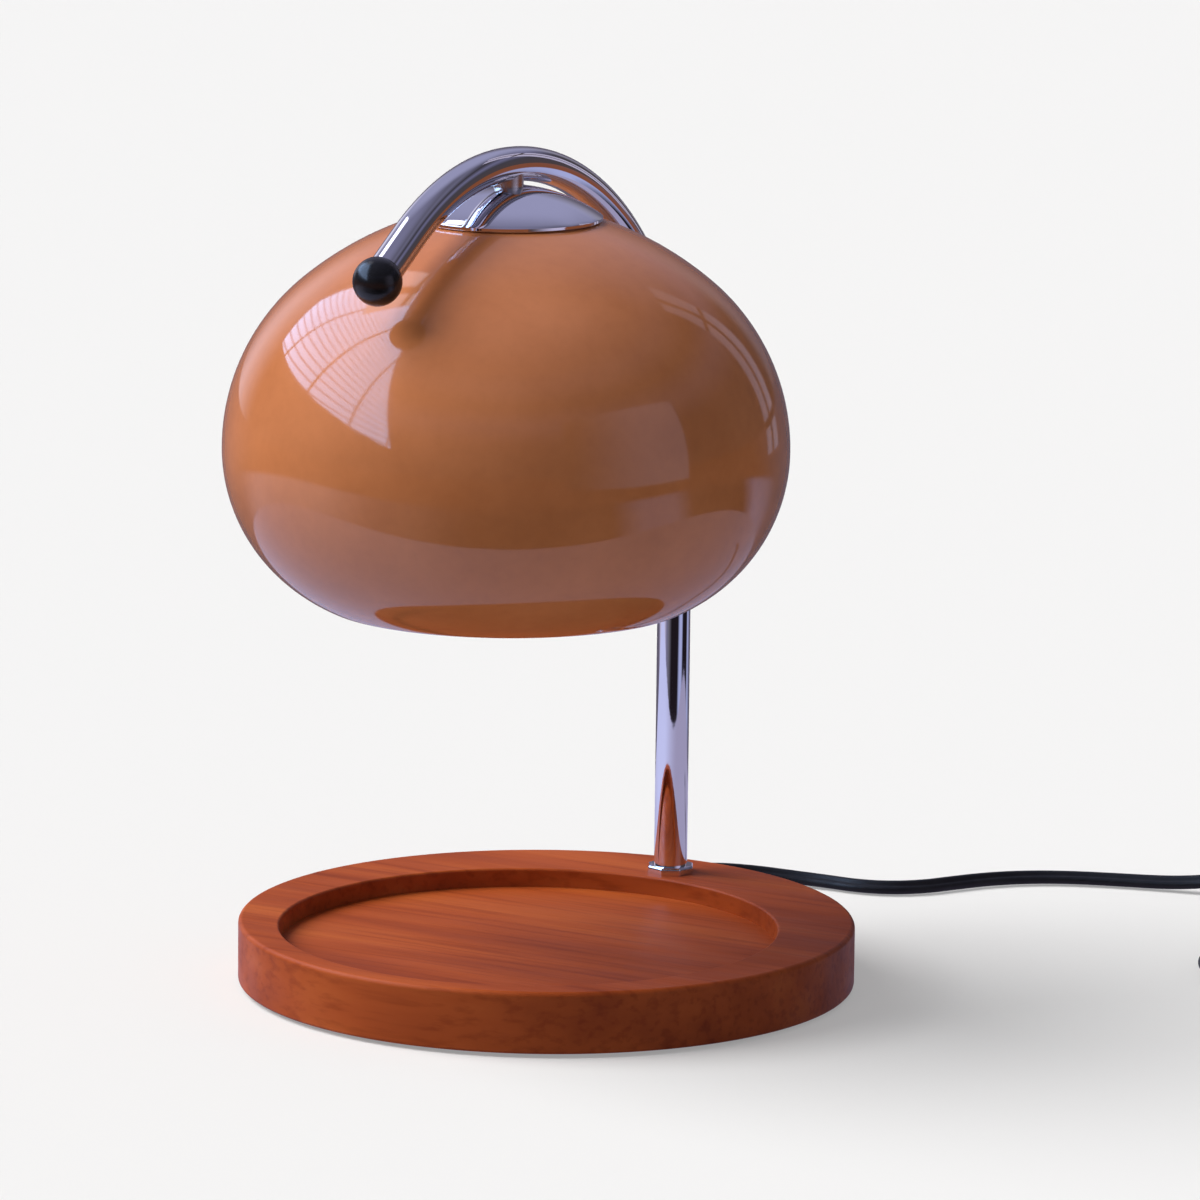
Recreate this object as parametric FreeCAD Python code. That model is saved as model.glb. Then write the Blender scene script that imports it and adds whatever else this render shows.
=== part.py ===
import FreeCAD
import Part
import math
import os

# A candle warmer lamp: a round wooden base with a sunk tray, a bent chrome arm that
# arches over it, and a domed metal shade that hangs from the arm over the tray.
# Millimetres. Z is up, and the origin is on the table under the middle of the base.
# The arm stands at the back (+Y) and its ball end points to the front (-Y).

# Fits used all over
joint_gap = 0.02
seat_gap = 0.1
free_gap = 0.3

# Wooden base and its tray
base_diameter = 200.0
base_thickness = 20.0
base_top_round = 1.6
base_foot_round = 1.0
tray_diameter = 161.0
tray_depth = 6.3
tray_offset = 11.5
tray_rim_round = 0.8

# Underside: steel cover, its screws and the soft mat that the lamp stands on
mat_diameter = 164.0
mat_drop = 1.2
mat_round = 0.4
cover_diameter = 188.0
cover_thickness = 1.2
cover_sink = 0.2
cover_screw_count = 5
cover_screw_circle_radius = 89.0
cover_screw_first_angle = 54.0
cover_screw_diameter = 3.0
cover_screw_head_diameter = 5.6
cover_screw_length = 10.0
cover_screw_cross_width = 0.7
cover_screw_cross_depth = 0.6

# Wiring pocket under the wood, between the cover and the tray
pocket_depth = 7.6
pocket_width = 56.0
pocket_front = 50.0
pocket_rim_radius = 90.0
clamp_bore_diameter = 25.0
clamp_wood_thickness = 6.2

# Bent arm
post_reach = 80.0
arm_diameter = 11.0
arm_wall = 1.0
arm_top = 271.0
arm_apex_y = -33.0
front_bend_radius = 100.0
front_bend_angle = 33.0
front_straight = 15.7
foot_stud_bore = 5.6
foot_stud_depth = 14.0
foot_nut_width = 15.0
foot_nut_thickness = 2.6
foot_nut_turn = -60.0
foot_nut_foot_slack = 1.6
foot_nut_top_inset = 1.0
clamp_washer_diameter = 22.0
clamp_washer_thickness = 1.2
clamp_nut_width = 15.0
clamp_nut_thickness = 4.0
foot_stud_tail = 0.6
ball_diameter = 15.5
ball_pin_diameter = 5.0
ball_pin_depth = 5.0
ball_plug_length = 8.0

# Shade, hung on the nipple under the arm
shade_y = -28.0
shade_radius = 90.2
shade_equator_z = 180.2
shade_drop = 50.0
shade_lower_radius = 54.9
shade_upper_radius = 69.0
shade_upper_angle = 50.0
shade_crown_radius = 110.0
shade_flat_radius = 24.0
shade_wall = 1.2

# Nipple and what it clamps
nipple_diameter = 9.6
nipple_bore = 6.0
nipple_tail = 1.5
dome_radius = 30.0
dome_height = 9.5
dome_lip = 1.2
dome_wall = 0.8
dome_to_arm = 1.2
spacer_diameter = 16.0
shade_washer_diameter = 30.0
shade_washer_thickness = 1.0
strap_length = 46.0
strap_width = 16.0
strap_thickness = 1.2
shade_nut_width = 14.0
shade_nut_thickness = 4.0

# Lamp holder and its fixings
holder_diameter = 28.0
holder_height = 15.0
holder_drop = 7.5
holder_screw_pitch = 21.0
holder_screw_diameter = 3.0
holder_screw_head_diameter = 5.4
holder_screw_head_depth = 1.8
holder_screw_recess = 1.0
holder_screw_slot_width = 0.8
holder_screw_slot_depth = 0.7
holder_round = 1.0
holder_spacer_diameter = 6.0

# Halogen bulb with a twist lock foot
bulb_diameter = 50.0
bulb_length = 52.0
bulb_foot_diameter = 24.0
bulb_foot_length = 18.0
bulb_glass = 1.2
bulb_rim_height = 4.0
bulb_foot_round = 1.5
bulb_lens_recess = 0.6
bulb_lens_thickness = 1.8
reflector_bulge = 3.3
bulb_pin_pitch = 10.0
bulb_pin_diameter = 3.0
bulb_pin_head_diameter = 5.0
bulb_pin_head_height = 2.0
bulb_pin_neck = 3.6
bulb_twist = 20.0
holder_floor = 3.0
holder_slot_gap = 0.35
capsule_diameter = 9.0
capsule_length = 20.0
capsule_round = 4.2

# Wires inside the lamp
wire_diameter = 1.9
wire_gap = 0.3
wire_bend_radius = 5.0
wire_foot_bend_radius = 4.0
terminal_length = 14.0
terminal_width = 16.0
terminal_height = 6.4
terminal_y = 63.0
terminal_screw_well_diameter = 3.2
terminal_screw_well_depth = 1.5
wire_height = 2.4
wire_end_depth = 3.5
wire_hole_depth = 4.0

# Mains lead: a flat twin cord, drawn here as a round tube of its width
cord_diameter = 5.2
cord_exit_angle = 100.0
cord_exit_z = 8.0
gland_bore_diameter = 7.6
gland_flange_diameter = 11.0
gland_flange_thickness = 1.6
gland_taper_length = 22.0
gland_tip_diameter = 6.4
gland_shoulder = 1.2
gland_inner_reach = 16.0
inner_lead_diameter = 3.8

# Put-away coil of the lead
coil_x = 208.0
coil_y = 146.0
coil_middle_radius = 31.0
coil_pitch = 5.7
coil_first_angle = 0.0
coil_turns = 7.0833
coil_climb_turns = 0.5
coil_floor_gap = 0.05
tie_width = 8.0
tie_wall = 0.8
tie_angle = 150.0

# In-line dimmer on the lead
dimmer_x = 185.0
dimmer_y = 214.0
dimmer_turn = -22.0
dimmer_length = 66.0
dimmer_width = 30.0
dimmer_height = 16.0
dimmer_wall = 2.0
dimmer_round = 1.5
wheel_diameter = 22.0
wheel_thickness = 5.0
wheel_offset = 7.5
wheel_slot_gap = 0.4
wheel_rib_count = 36
wheel_rib_depth = 0.5
wheel_groove_radius = 0.7
axle_diameter = 3.0
axle_gap = 0.03
axle_boss_wall = 1.6
axle_end_gap = 0.1
board_length = 36.0
board_width = 10.0
board_thickness = 1.2
board_gap = 0.6
choke_count = 3
choke_pitch = 11.0
choke_diameter = 7.0
choke_height = 4.0
dimmer_screw_diameter = 2.5
dimmer_screw_head_diameter = 4.6
dimmer_screw_head_depth = 1.6
dimmer_screw_reach = 23.5
dimmer_screw_post_wall = 1.2
dimmer_screw_head_recess = 0.4
dimmer_screw_slot_width = 0.7
dimmer_screw_slot_depth = 0.5
dimmer_screw_hole_end = 3.0
dimmer_screw_end = 3.2

# Plug with two flat blades
plug_width = 24.0
plug_thickness = 16.4
plug_body_length = 20.0
plug_neck_length = 16.0
plug_neck_diameter = 8.0
plug_round = 3.0
plug_overlap = 2.0
blade_pitch = 12.7
blade_width = 6.3
blade_thickness = 1.5
blade_length = 17.0
blade_hole_radius = 1.5
blade_hole_from_tip = 4.5

# Route of the lead from the gland's tip to the dimmer, chosen by hand
lead_route = [
    (-23.4, 132.9, 7.9),
    (-21.0, 145.8, 6.4),
    (-12.0, 156.5, 4.6),
    (1.0, 162.8, 3.1),
    (13.0, 165.0, 2.7),
    (24.5, 164.8, 2.7),
    (35.5, 168.3, 2.7),
    (44.6, 176.4, 2.7),
    (50.5, 187.2, 2.7),
    (57.5, 198.5, 2.7),
    (67.5, 208.8, 2.7),
    (81.0, 216.8, 2.7),
    (97.0, 222.6, 2.7),
    (114.0, 227.0, 3.0),
    (129.0, 230.4, 5.0),
    (142.4, 231.2, 7.9),
]
# Route of the short stretch from the dimmer to the coil
link_route = [
    (226.0, 197.4, 7.4),
    (237.0, 191.6, 5.8),
    (245.6, 182.8, 4.3),
    (250.0, 172.0, 3.2),
    (250.4, 161.0, 2.8),
]
# Route of the short tail from the coil to the plug
tail_route = [
    (236.6, 111.5, 8.3),
    (235.2, 101.2, 8.25),
    (235.4, 91.0, 8.25),
]

# Levels and places that follow from the sizes above
base_radius = base_diameter / 2
base_bottom = mat_drop
base_top = base_bottom + base_thickness
tray_floor = base_top - tray_depth
cover_bottom = base_bottom + cover_sink
cover_top = cover_bottom + cover_thickness
pocket_top = cover_top + seat_gap + pocket_depth
clamp_top = base_top - clamp_wood_thickness
arm_radius = arm_diameter / 2
arm_bore_radius = arm_radius - arm_wall
back_bend_radius = post_reach - arm_apex_y
shade_flat_rise = math.sqrt(
    shade_crown_radius ** 2
    - (shade_flat_radius - (shade_radius - shade_upper_radius)
       - (shade_upper_radius - shade_crown_radius) * math.cos(math.radians(shade_upper_angle))) ** 2
)
arm_over_shade = (
    arm_top - back_bend_radius + math.sqrt(back_bend_radius ** 2 - (shade_y - arm_apex_y) ** 2)
)
arm_underside = arm_over_shade - arm_radius
dome_top = arm_underside - dome_to_arm
shade_crown_y = math.sin(math.radians(shade_upper_angle))
shade_top = (
    shade_equator_z
    + (shade_upper_radius - shade_crown_radius) * shade_crown_y
    + shade_flat_rise
)
shade_under_top = shade_top - shade_wall
shade_washer_bottom = shade_under_top - shade_washer_thickness
strap_bottom = shade_washer_bottom - strap_thickness
shade_nut_bottom = strap_bottom - shade_nut_thickness
nipple_bottom = shade_nut_bottom - nipple_tail
holder_top = strap_bottom - holder_drop
holder_bottom = holder_top - holder_height
bulb_top = holder_bottom - free_gap
exit_direction = FreeCAD.Vector(
    math.cos(math.radians(cord_exit_angle)), math.sin(math.radians(cord_exit_angle)), 0
)
coil_low_z = cord_diameter / 2 + coil_floor_gap
coil_inner_radius = coil_middle_radius - coil_pitch * coil_turns / 4
coil_outer_radius = coil_inner_radius + coil_pitch * coil_turns / 2
dimmer_cord_z = dimmer_height / 2


def vec(x, y, z):
    return FreeCAD.Vector(x, y, z)


def cylinder(radius, low, high, x=0.0, y=0.0):
    return Part.makeCylinder(radius, high - low, vec(x, y, low))


def tube(outer, bore, low, high, x=0.0, y=0.0):
    return cylinder(outer, low, high, x, y).cut(cylinder(bore, low - 1, high + 1, x, y))


def block(length, width, low, high, x=0.0, y=0.0):
    return Part.makeBox(length, width, high - low, vec(x - length / 2, y - width / 2, low))


def prism(width_across_flats, sides, low, high, x=0.0, y=0.0, turn=0.0):
    """A bar with flat sides; one flat faces the direction of turn."""
    corner = width_across_flats / 2 / math.cos(math.pi / sides)
    points = []
    for i in range(sides + 1):
        a = math.radians(turn) + (i + 0.5) * 2 * math.pi / sides
        points.append(vec(x + corner * math.cos(a), y + corner * math.sin(a), low))
    return Part.Face(Part.makePolygon(points)).extrude(vec(0, 0, high - low))


def nut(width_across_flats, bore, low, high, x=0.0, y=0.0, turn=0.0, sides=6):
    body = prism(width_across_flats, sides, low, high, x, y, turn)
    return body.cut(cylinder(bore, low - 1, high + 1, x, y))


def countersink(x, y, low, high, low_radius, high_radius):
    return Part.makeCone(low_radius, high_radius, high - low, vec(x, y, low))


def arc(a, middle, b):
    return Part.Arc(a, middle, b).toShape()


def line(a, b):
    return Part.LineSegment(a, b).toShape()


def around_axis(edges, y=0.0, angle=360.0):
    """Turns a closed outline in the XZ plane about the upright line through (0, y)."""
    face = Part.Face(Part.Wire(edges))
    solid = face.revolve(vec(0, 0, 0), vec(0, 0, 1), angle)
    solid.translate(vec(0, y, 0))
    return solid


def outline(points):
    corners = [vec(r, 0, z) for r, z in points]
    return [line(a, b) for a, b in zip(corners, corners[1:] + corners[:1])]


def on_circle(centre_x, centre_z, radius, degrees):
    a = math.radians(degrees)
    return vec(centre_x + radius * math.cos(a), 0, centre_z + radius * math.sin(a))


def swept(path_edges, radius):
    """A round bar along a path whose first edge starts square to the bar's end."""
    wire = Part.Wire(path_edges)
    first = wire.OrderedEdges[0]
    start = first.valueAt(first.FirstParameter)
    direction = first.tangentAt(first.FirstParameter)
    ring = Part.Wire([Part.Circle(start, direction, radius).toShape()])
    maker = Part.BRepOffsetAPI.MakePipeShell(wire)
    maker.add(ring)
    maker.build()
    maker.makeSolid()
    return maker.shape()


def cord_edges(points, name):
    """Straight runs joined by arcs as large as the runs allow; prints the radii."""
    edges = []
    radii = []
    last = points[0]
    for a, b, c in zip(points, points[1:], points[2:]):
        before = (b - a).Length
        after = (c - b).Length
        into = (b - a) * (1 / before)
        out = (c - b) * (1 / after)
        turn = into.getAngle(out)
        reach = 0.45 * min(before, after)
        radii.append(reach / math.tan(turn / 2))
        start = b - into * reach
        end = b + out * reach
        inward = (out - into).normalize()
        depth = reach * (1 / math.cos(turn / 2) - 1) / math.tan(turn / 2)
        top = b + inward * depth
        edges.append(line(last, start))
        edges.append(arc(start, top, end))
        last = end
    edges.append(line(last, points[-1]))
    print(name, "radii", [round(r, 1) for r in radii])
    return edges


def cord_tube(points, name):
    edges = cord_edges(points, name)
    solid = swept(edges, cord_diameter / 2)
    length = sum(e.Length for e in edges)
    section = math.pi * cord_diameter ** 2 / 4
    print(name, "length", round(length, 1), "volume share", round(solid.Volume / section / length, 4))
    return solid, length


def turned(shape, x, y, degrees):
    """Puts a shape made along +X at the origin to its place on the table."""
    placed = shape.copy()
    placed.rotate(vec(0, 0, 0), vec(0, 0, 1), degrees)
    placed.translate(vec(x, y, 0))
    return placed


def cover_screw_places():
    for i in range(cover_screw_count):
        a = math.radians(cover_screw_first_angle + i * 360 / cover_screw_count)
        yield cover_screw_circle_radius * math.cos(a), cover_screw_circle_radius * math.sin(a)


def along_exit(distance):
    return exit_direction * distance + vec(0, 0, cord_exit_z)


def exit_bar(radius, start, end):
    return Part.makeCylinder(radius, end - start, along_exit(start), exit_direction)


def level_edges(body, z):
    """The edges of a body that lie level at this height."""
    return [e for e in body.Edges if abs(e.BoundBox.ZMin - z) < 0.01 and abs(e.BoundBox.ZMax - z) < 0.01]


def base():
    body = cylinder(base_radius, base_bottom, base_top)
    body = body.makeFillet(base_top_round, level_edges(body, base_top))
    body = body.makeFillet(base_foot_round, level_edges(body, base_bottom))
    tray = cylinder(tray_diameter / 2, tray_floor, base_top + 1, 0, -tray_offset)
    body = body.cut(tray)
    rim = [e for e in level_edges(body, base_top) if abs(e.BoundBox.XLength - tray_diameter) < 0.1]
    body = body.makeFillet(tray_rim_round, rim)
    cover_seat = cylinder(cover_diameter / 2 + seat_gap, base_bottom - 1, cover_top + seat_gap)
    body = body.cut(cover_seat)
    pocket_middle = pocket_front + pocket_rim_radius / 2
    pocket = block(pocket_width, pocket_rim_radius, base_bottom, pocket_top, 0, pocket_middle)
    body = body.cut(pocket.common(cylinder(pocket_rim_radius, base_bottom, pocket_top)))
    body = body.cut(cylinder(clamp_bore_diameter / 2, base_bottom, clamp_top, 0, post_reach))
    body = body.cut(cylinder(arm_bore_radius + joint_gap, clamp_top - 1, base_top + 1, 0, post_reach))
    body = body.cut(exit_bar(gland_bore_diameter / 2 + joint_gap, pocket_rim_radius - 8, base_radius + 2))
    for x, y in cover_screw_places():
        hole_top = cover_bottom + cover_screw_length + joint_gap
        body = body.cut(cylinder(cover_screw_diameter / 2 + joint_gap, base_bottom, hole_top, x, y))
    return body


def bottom_cover():
    plate = cylinder(cover_diameter / 2, cover_bottom, cover_top)
    for x, y in cover_screw_places():
        plate = plate.cut(
            countersink(x, y, cover_bottom, cover_top,
                        cover_screw_head_diameter / 2 + joint_gap, cover_screw_diameter / 2 + joint_gap)
        )
    return plate


def cover_screws():
    screws = []
    shank_radius = cover_screw_diameter / 2
    cross_top = cover_bottom + cover_screw_cross_depth
    for x, y in cover_screw_places():
        head = countersink(x, y, cover_bottom, cover_top, cover_screw_head_diameter / 2, shank_radius)
        shank = cylinder(shank_radius, cover_top, cover_bottom + cover_screw_length, x, y)
        cross = block(cover_screw_diameter, cover_screw_cross_width, cover_bottom - 1, cross_top, x, y)
        cross = cross.fuse(
            block(cover_screw_cross_width, cover_screw_diameter, cover_bottom - 1, cross_top, x, y)
        )
        screws.append(head.fuse(shank).removeSplitter().cut(cross))
    return screws


def base_mat():
    mat = cylinder(mat_diameter / 2, 0, cover_bottom)
    return mat.makeFillet(mat_round, level_edges(mat, 0))


def arm_path():
    """Up the post, over the shade and down to the ball, in the plane x = 0."""
    bend_z = arm_top - back_bend_radius
    foot = vec(0, post_reach, base_top)
    bend_start = vec(0, post_reach, bend_z)
    apex = vec(0, arm_apex_y, arm_top)
    half = math.sqrt(0.5) * back_bend_radius
    back_middle = vec(0, arm_apex_y + half, bend_z + half)

    def on_front(degrees):
        a = math.radians(degrees)
        return vec(
            0,
            arm_apex_y - front_bend_radius * math.sin(a),
            arm_top - front_bend_radius * (1 - math.cos(a)),
        )

    a = math.radians(front_bend_angle)
    front_end = on_front(front_bend_angle)
    tip = front_end + vec(0, -math.cos(a), -math.sin(a)) * front_straight
    return [
        line(foot, bend_start),
        arc(bend_start, back_middle, apex),
        arc(apex, on_front(front_bend_angle / 2), front_end),
        line(front_end, tip),
    ]


def arm_tip():
    end = arm_path()[-1]
    return end.valueAt(end.LastParameter), end.tangentAt(end.LastParameter)


def arm():
    path = arm_path()
    solid = swept(path, arm_radius).cut(swept(path, arm_bore_radius))
    wire_hole = cylinder(nipple_bore / 2, arm_underside - 2, arm_over_shade, 0, shade_y)
    return solid.cut(wire_hole)


def foot_stud():
    low = clamp_top - clamp_washer_thickness - clamp_nut_thickness - foot_stud_tail
    radius = arm_bore_radius - joint_gap
    return tube(radius, foot_stud_bore / 2, low, base_top + foot_stud_depth, 0, post_reach)


def foot_nut():
    low = base_top
    high = low + foot_nut_thickness
    body = nut(foot_nut_width, arm_radius + joint_gap, low, high, 0, post_reach, foot_nut_turn, 8)
    slope = Part.makeCone(
        foot_nut_width / 2 + foot_nut_foot_slack,
        foot_nut_width / 2 - foot_nut_top_inset,
        foot_nut_thickness,
        vec(0, post_reach, low),
    )
    return body.common(slope)


def clamp_washer():
    low = clamp_top - clamp_washer_thickness
    return tube(clamp_washer_diameter / 2, arm_bore_radius + joint_gap, low, clamp_top, 0, post_reach)


def clamp_nut():
    high = clamp_top - clamp_washer_thickness
    low = high - clamp_nut_thickness
    return nut(clamp_nut_width, arm_bore_radius + joint_gap, low, high, 0, post_reach)


def ball_centre():
    tip, direction = arm_tip()
    depth = math.sqrt((ball_diameter / 2) ** 2 - arm_radius ** 2)
    return tip + direction * depth


def ball_end():
    tip, direction = arm_tip()
    ball = Part.makeSphere(ball_diameter / 2, ball_centre())
    seat = Part.makeCylinder(arm_radius + 2, ball_diameter, tip, direction * -1)
    hole_radius = ball_pin_diameter / 2 + joint_gap
    pin_hole = Part.makeCylinder(hole_radius, ball_pin_depth + joint_gap, tip, direction)
    return ball.cut(seat).cut(pin_hole)


def ball_pin():
    tip, direction = arm_tip()
    plug = Part.makeCylinder(arm_bore_radius - joint_gap, ball_plug_length, tip, direction * -1)
    pin = Part.makeCylinder(ball_pin_diameter / 2, ball_pin_depth, tip, direction)
    return plug.fuse(pin).removeSplitter()


def shade_side(shift):
    """The shade's wall line from rim to flat top, moved inwards by shift."""
    lower_x = shade_radius - shade_lower_radius
    upper_x = shade_radius - shade_upper_radius
    a = math.radians(shade_upper_angle)
    crown_x = upper_x + (shade_upper_radius - shade_crown_radius) * math.cos(a)
    crown_z = shade_equator_z + (shade_upper_radius - shade_crown_radius) * math.sin(a)
    rim_angle = -math.degrees(math.asin(shade_drop / shade_lower_radius))
    flat_angle = math.degrees(math.acos((shade_flat_radius - crown_x) / shade_crown_radius))
    spans = [
        (lower_x, shade_equator_z, shade_lower_radius - shift, rim_angle, 0.0),
        (upper_x, shade_equator_z, shade_upper_radius - shift, 0.0, shade_upper_angle),
        (crown_x, crown_z, shade_crown_radius - shift, shade_upper_angle, flat_angle),
    ]
    edges = []
    for x, z, radius, start, end in spans:
        turns = (start, (start + end) / 2, end)
        edges.append(arc(*(on_circle(x, z, radius, a) for a in turns)))
    return edges


def shade():
    outer = shade_side(0.0)
    inner = shade_side(shade_wall)
    rim_outer = outer[0].valueAt(outer[0].FirstParameter)
    rim_inner = inner[0].valueAt(inner[0].FirstParameter)
    top_outer = outer[-1].valueAt(outer[-1].LastParameter)
    top_inner = inner[-1].valueAt(inner[-1].LastParameter)
    hole = nipple_diameter / 2 + seat_gap
    hole_top = vec(hole, 0, top_outer.z)
    hole_low = vec(hole, 0, shade_under_top)
    flat_inner = vec(top_inner.x, 0, shade_under_top)
    edges = outer + [line(top_outer, hole_top), line(hole_top, hole_low), line(hole_low, flat_inner)]
    if (flat_inner - top_inner).Length > 1e-6:
        edges.append(line(flat_inner, top_inner))
    edges = edges + inner + [line(rim_inner, rim_outer)]
    return around_axis(Part.__sortEdges__(edges), shade_y)


def dome_profile(shift):
    """Radius of the dome's sphere and the height of its middle, for its skin moved inwards."""
    ball = (dome_radius ** 2 + dome_height ** 2) / (2 * dome_height)
    return ball - shift, dome_top - ball


def dome_cap():
    outer_ball, middle = dome_profile(0.0)
    inner_ball, middle = dome_profile(dome_wall)
    lip_top = dome_top - dome_height
    lip_bottom = lip_top - dome_lip
    inner_radius = dome_radius - dome_wall
    outer = cylinder(dome_radius, lip_bottom, dome_top + 1).common(
        Part.makeSphere(outer_ball, vec(0, 0, middle)).fuse(cylinder(dome_radius + 1, lip_bottom, lip_top))
    )
    inner_lip = cylinder(dome_radius + 1, lip_bottom - 1, lip_top - 1)
    inner = cylinder(inner_radius, lip_bottom - 1, dome_top + 1).common(
        Part.makeSphere(inner_ball, vec(0, 0, middle)).fuse(inner_lip)
    )
    solid = outer.cut(inner).cut(cylinder(nipple_diameter / 2 + seat_gap, lip_bottom - 1, dome_top + 1))
    solid = solid.removeSplitter()
    solid.translate(vec(0, shade_y, 0))
    return solid


def shade_nipple():
    bar = tube(nipple_diameter / 2, nipple_bore / 2, nipple_bottom, arm_over_shade, 0, shade_y)
    return bar.cut(swept(arm_path(), arm_radius + joint_gap))


def dome_spacer():
    top = dome_top - dome_wall - seat_gap
    dip = spacer_diameter ** 2 / 8 / dome_profile(0.0)[0]
    return tube(spacer_diameter / 2, nipple_diameter / 2 + joint_gap, shade_top, top - dip, 0, shade_y)


def shade_washer():
    return tube(shade_washer_diameter / 2, nipple_diameter / 2 + joint_gap,
                shade_washer_bottom, shade_under_top, 0, shade_y)


def holder_screw_places():
    for side in (-1, 1):
        yield 0.0, shade_y + side * holder_screw_pitch / 2


def holder_strap():
    plate = block(strap_width, strap_length, strap_bottom, shade_washer_bottom, 0, shade_y)
    corners = [e for e in plate.Edges if e.BoundBox.ZLength > strap_thickness - 0.01]
    plate = plate.makeFillet(strap_width / 2 - 1, corners)
    low = strap_bottom - 1
    high = shade_washer_bottom + 1
    plate = plate.cut(cylinder(nipple_diameter / 2 + joint_gap, low, high, 0, shade_y))
    for x, y in holder_screw_places():
        plate = plate.cut(cylinder(holder_screw_diameter / 2 + joint_gap, low, high, x, y))
    return plate


def shade_nut():
    hole = nipple_diameter / 2 + joint_gap
    return nut(shade_nut_width, hole, shade_nut_bottom, strap_bottom, 0, shade_y, 90)


def holder_spacers():
    hole = holder_screw_diameter / 2 + joint_gap
    radius = holder_spacer_diameter / 2
    return [tube(radius, hole, holder_top, strap_bottom, x, y) for x, y in holder_screw_places()]


def holder_screws():
    screws = []
    for x, y in holder_screw_places():
        head_low = holder_bottom + holder_screw_recess
        head_high = head_low + holder_screw_head_depth
        radius = holder_screw_diameter / 2
        head = countersink(x, y, head_low, head_high, holder_screw_head_diameter / 2, radius)
        shank = cylinder(radius, head_high, shade_washer_bottom, x, y)
        slot_top = head_low + holder_screw_slot_depth
        slot = block(holder_screw_head_diameter + 1, holder_screw_slot_width, head_low - 1, slot_top, x, y)
        screws.append(head.fuse(shank).removeSplitter().cut(slot))
    return screws


def ring_sector(inner, outer, low, high, start, sweep):
    face = outline([(inner, low), (outer, low), (outer, high), (inner, high)])
    solid = around_axis(face, 0.0, sweep)
    solid.rotate(vec(0, 0, 0), vec(0, 0, 1), start)
    solid.translate(vec(0, shade_y, 0))
    return solid


def lamp_holder():
    body = cylinder(holder_diameter / 2, holder_bottom, holder_top, 0, shade_y)
    edges = level_edges(body, holder_bottom) + level_edges(body, holder_top)
    body = body.makeFillet(holder_round, edges)
    orbit = bulb_pin_pitch / 2
    neck = bulb_pin_diameter / 2 + holder_slot_gap
    head = bulb_pin_head_diameter / 2 + holder_slot_gap
    floor_top = holder_bottom + holder_floor
    well_top = floor_top + bulb_pin_head_height + 2 * holder_slot_gap
    for side in (0, 180):
        entry = side - bulb_twist
        slot = ring_sector(orbit - neck, orbit + neck, holder_bottom - 1, well_top, entry, bulb_twist)
        well = ring_sector(orbit - head, orbit + head, floor_top, well_top, entry, bulb_twist)
        body = body.cut(slot).cut(well)
        for turn, radius, low, high in (
            (side, neck, holder_bottom - 1, well_top),
            (side, head, floor_top, well_top),
            (entry, head, holder_bottom - 1, well_top),
        ):
            x = orbit * math.cos(math.radians(turn))
            y = shade_y + orbit * math.sin(math.radians(turn))
            body = body.cut(cylinder(radius, low, high, x, y))
    for x, y in holder_screw_places():
        head_low = holder_bottom + holder_screw_recess
        head_high = head_low + holder_screw_head_depth
        wide = holder_screw_head_diameter / 2 + joint_gap
        shank = holder_screw_diameter / 2 + joint_gap
        body = body.cut(cylinder(wide, holder_bottom - 1, head_low, x, y))
        body = body.cut(countersink(x, y, head_low, head_high, wide, shank))
        body = body.cut(cylinder(shank, holder_bottom, holder_top + 1, x, y))
    hole_radius = wire_diameter / 2 + joint_gap
    for x in wire_lines():
        body = body.cut(cylinder(hole_radius, holder_top - wire_hole_depth, holder_top + 1, x, shade_y))
    return body


def bulb_foot_low():
    return bulb_top - bulb_foot_length


def bulb_foot():
    low = bulb_foot_low()
    body = cylinder(bulb_foot_diameter / 2, low, bulb_top, 0, shade_y)
    return body.makeFillet(bulb_foot_round, level_edges(body, bulb_top))


def bulb_pins():
    pins = []
    for side in (-1, 1):
        x = side * bulb_pin_pitch / 2
        neck_top = bulb_top + free_gap + bulb_pin_neck
        neck = cylinder(bulb_pin_diameter / 2, bulb_top, neck_top, x, shade_y)
        head = cylinder(bulb_pin_head_diameter / 2, neck_top, neck_top + bulb_pin_head_height, x, shade_y)
        pins.append(neck.fuse(head).removeSplitter())
    return pins


def reflector_line(shift):
    """The reflector's outer line from its neck to its rim, moved inwards by shift."""
    neck = bulb_foot_diameter / 2 - shift
    rim = bulb_diameter / 2 - shift
    top = bulb_foot_low()
    bottom = bulb_top - bulb_length
    rim_top = bottom + bulb_rim_height
    bulge = vec((neck + rim) / 2 + reflector_bulge, 0, (top + rim_top) / 2 + reflector_bulge)
    return vec(neck, 0, top), bulge, vec(rim, 0, rim_top), vec(rim, 0, bottom)


def bulb_reflector():
    neck, bulge, rim_top, rim_low = reflector_line(0.0)
    neck_in, bulge_in, rim_top_in, rim_low_in = reflector_line(bulb_glass)
    edges = [
        arc(neck, bulge, rim_top),
        line(rim_top, rim_low),
        line(rim_low, rim_low_in),
        line(rim_low_in, rim_top_in),
        arc(rim_top_in, bulge_in, neck_in),
        line(neck_in, neck),
    ]
    return around_axis(edges, shade_y)


def bulb_lens():
    bottom = bulb_top - bulb_length
    radius = bulb_diameter / 2 - bulb_glass - joint_gap
    low = bottom + bulb_lens_recess
    return cylinder(radius, low, low + bulb_lens_thickness, 0, shade_y)


def bulb_capsule():
    top = bulb_foot_low()
    bar = cylinder(capsule_diameter / 2, top - capsule_length, top, 0, shade_y)
    return bar.makeFillet(capsule_round, level_edges(bar, top - capsule_length))


def wire_lines():
    shift = (wire_diameter + wire_gap) / 2
    return (-shift, shift)


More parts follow.
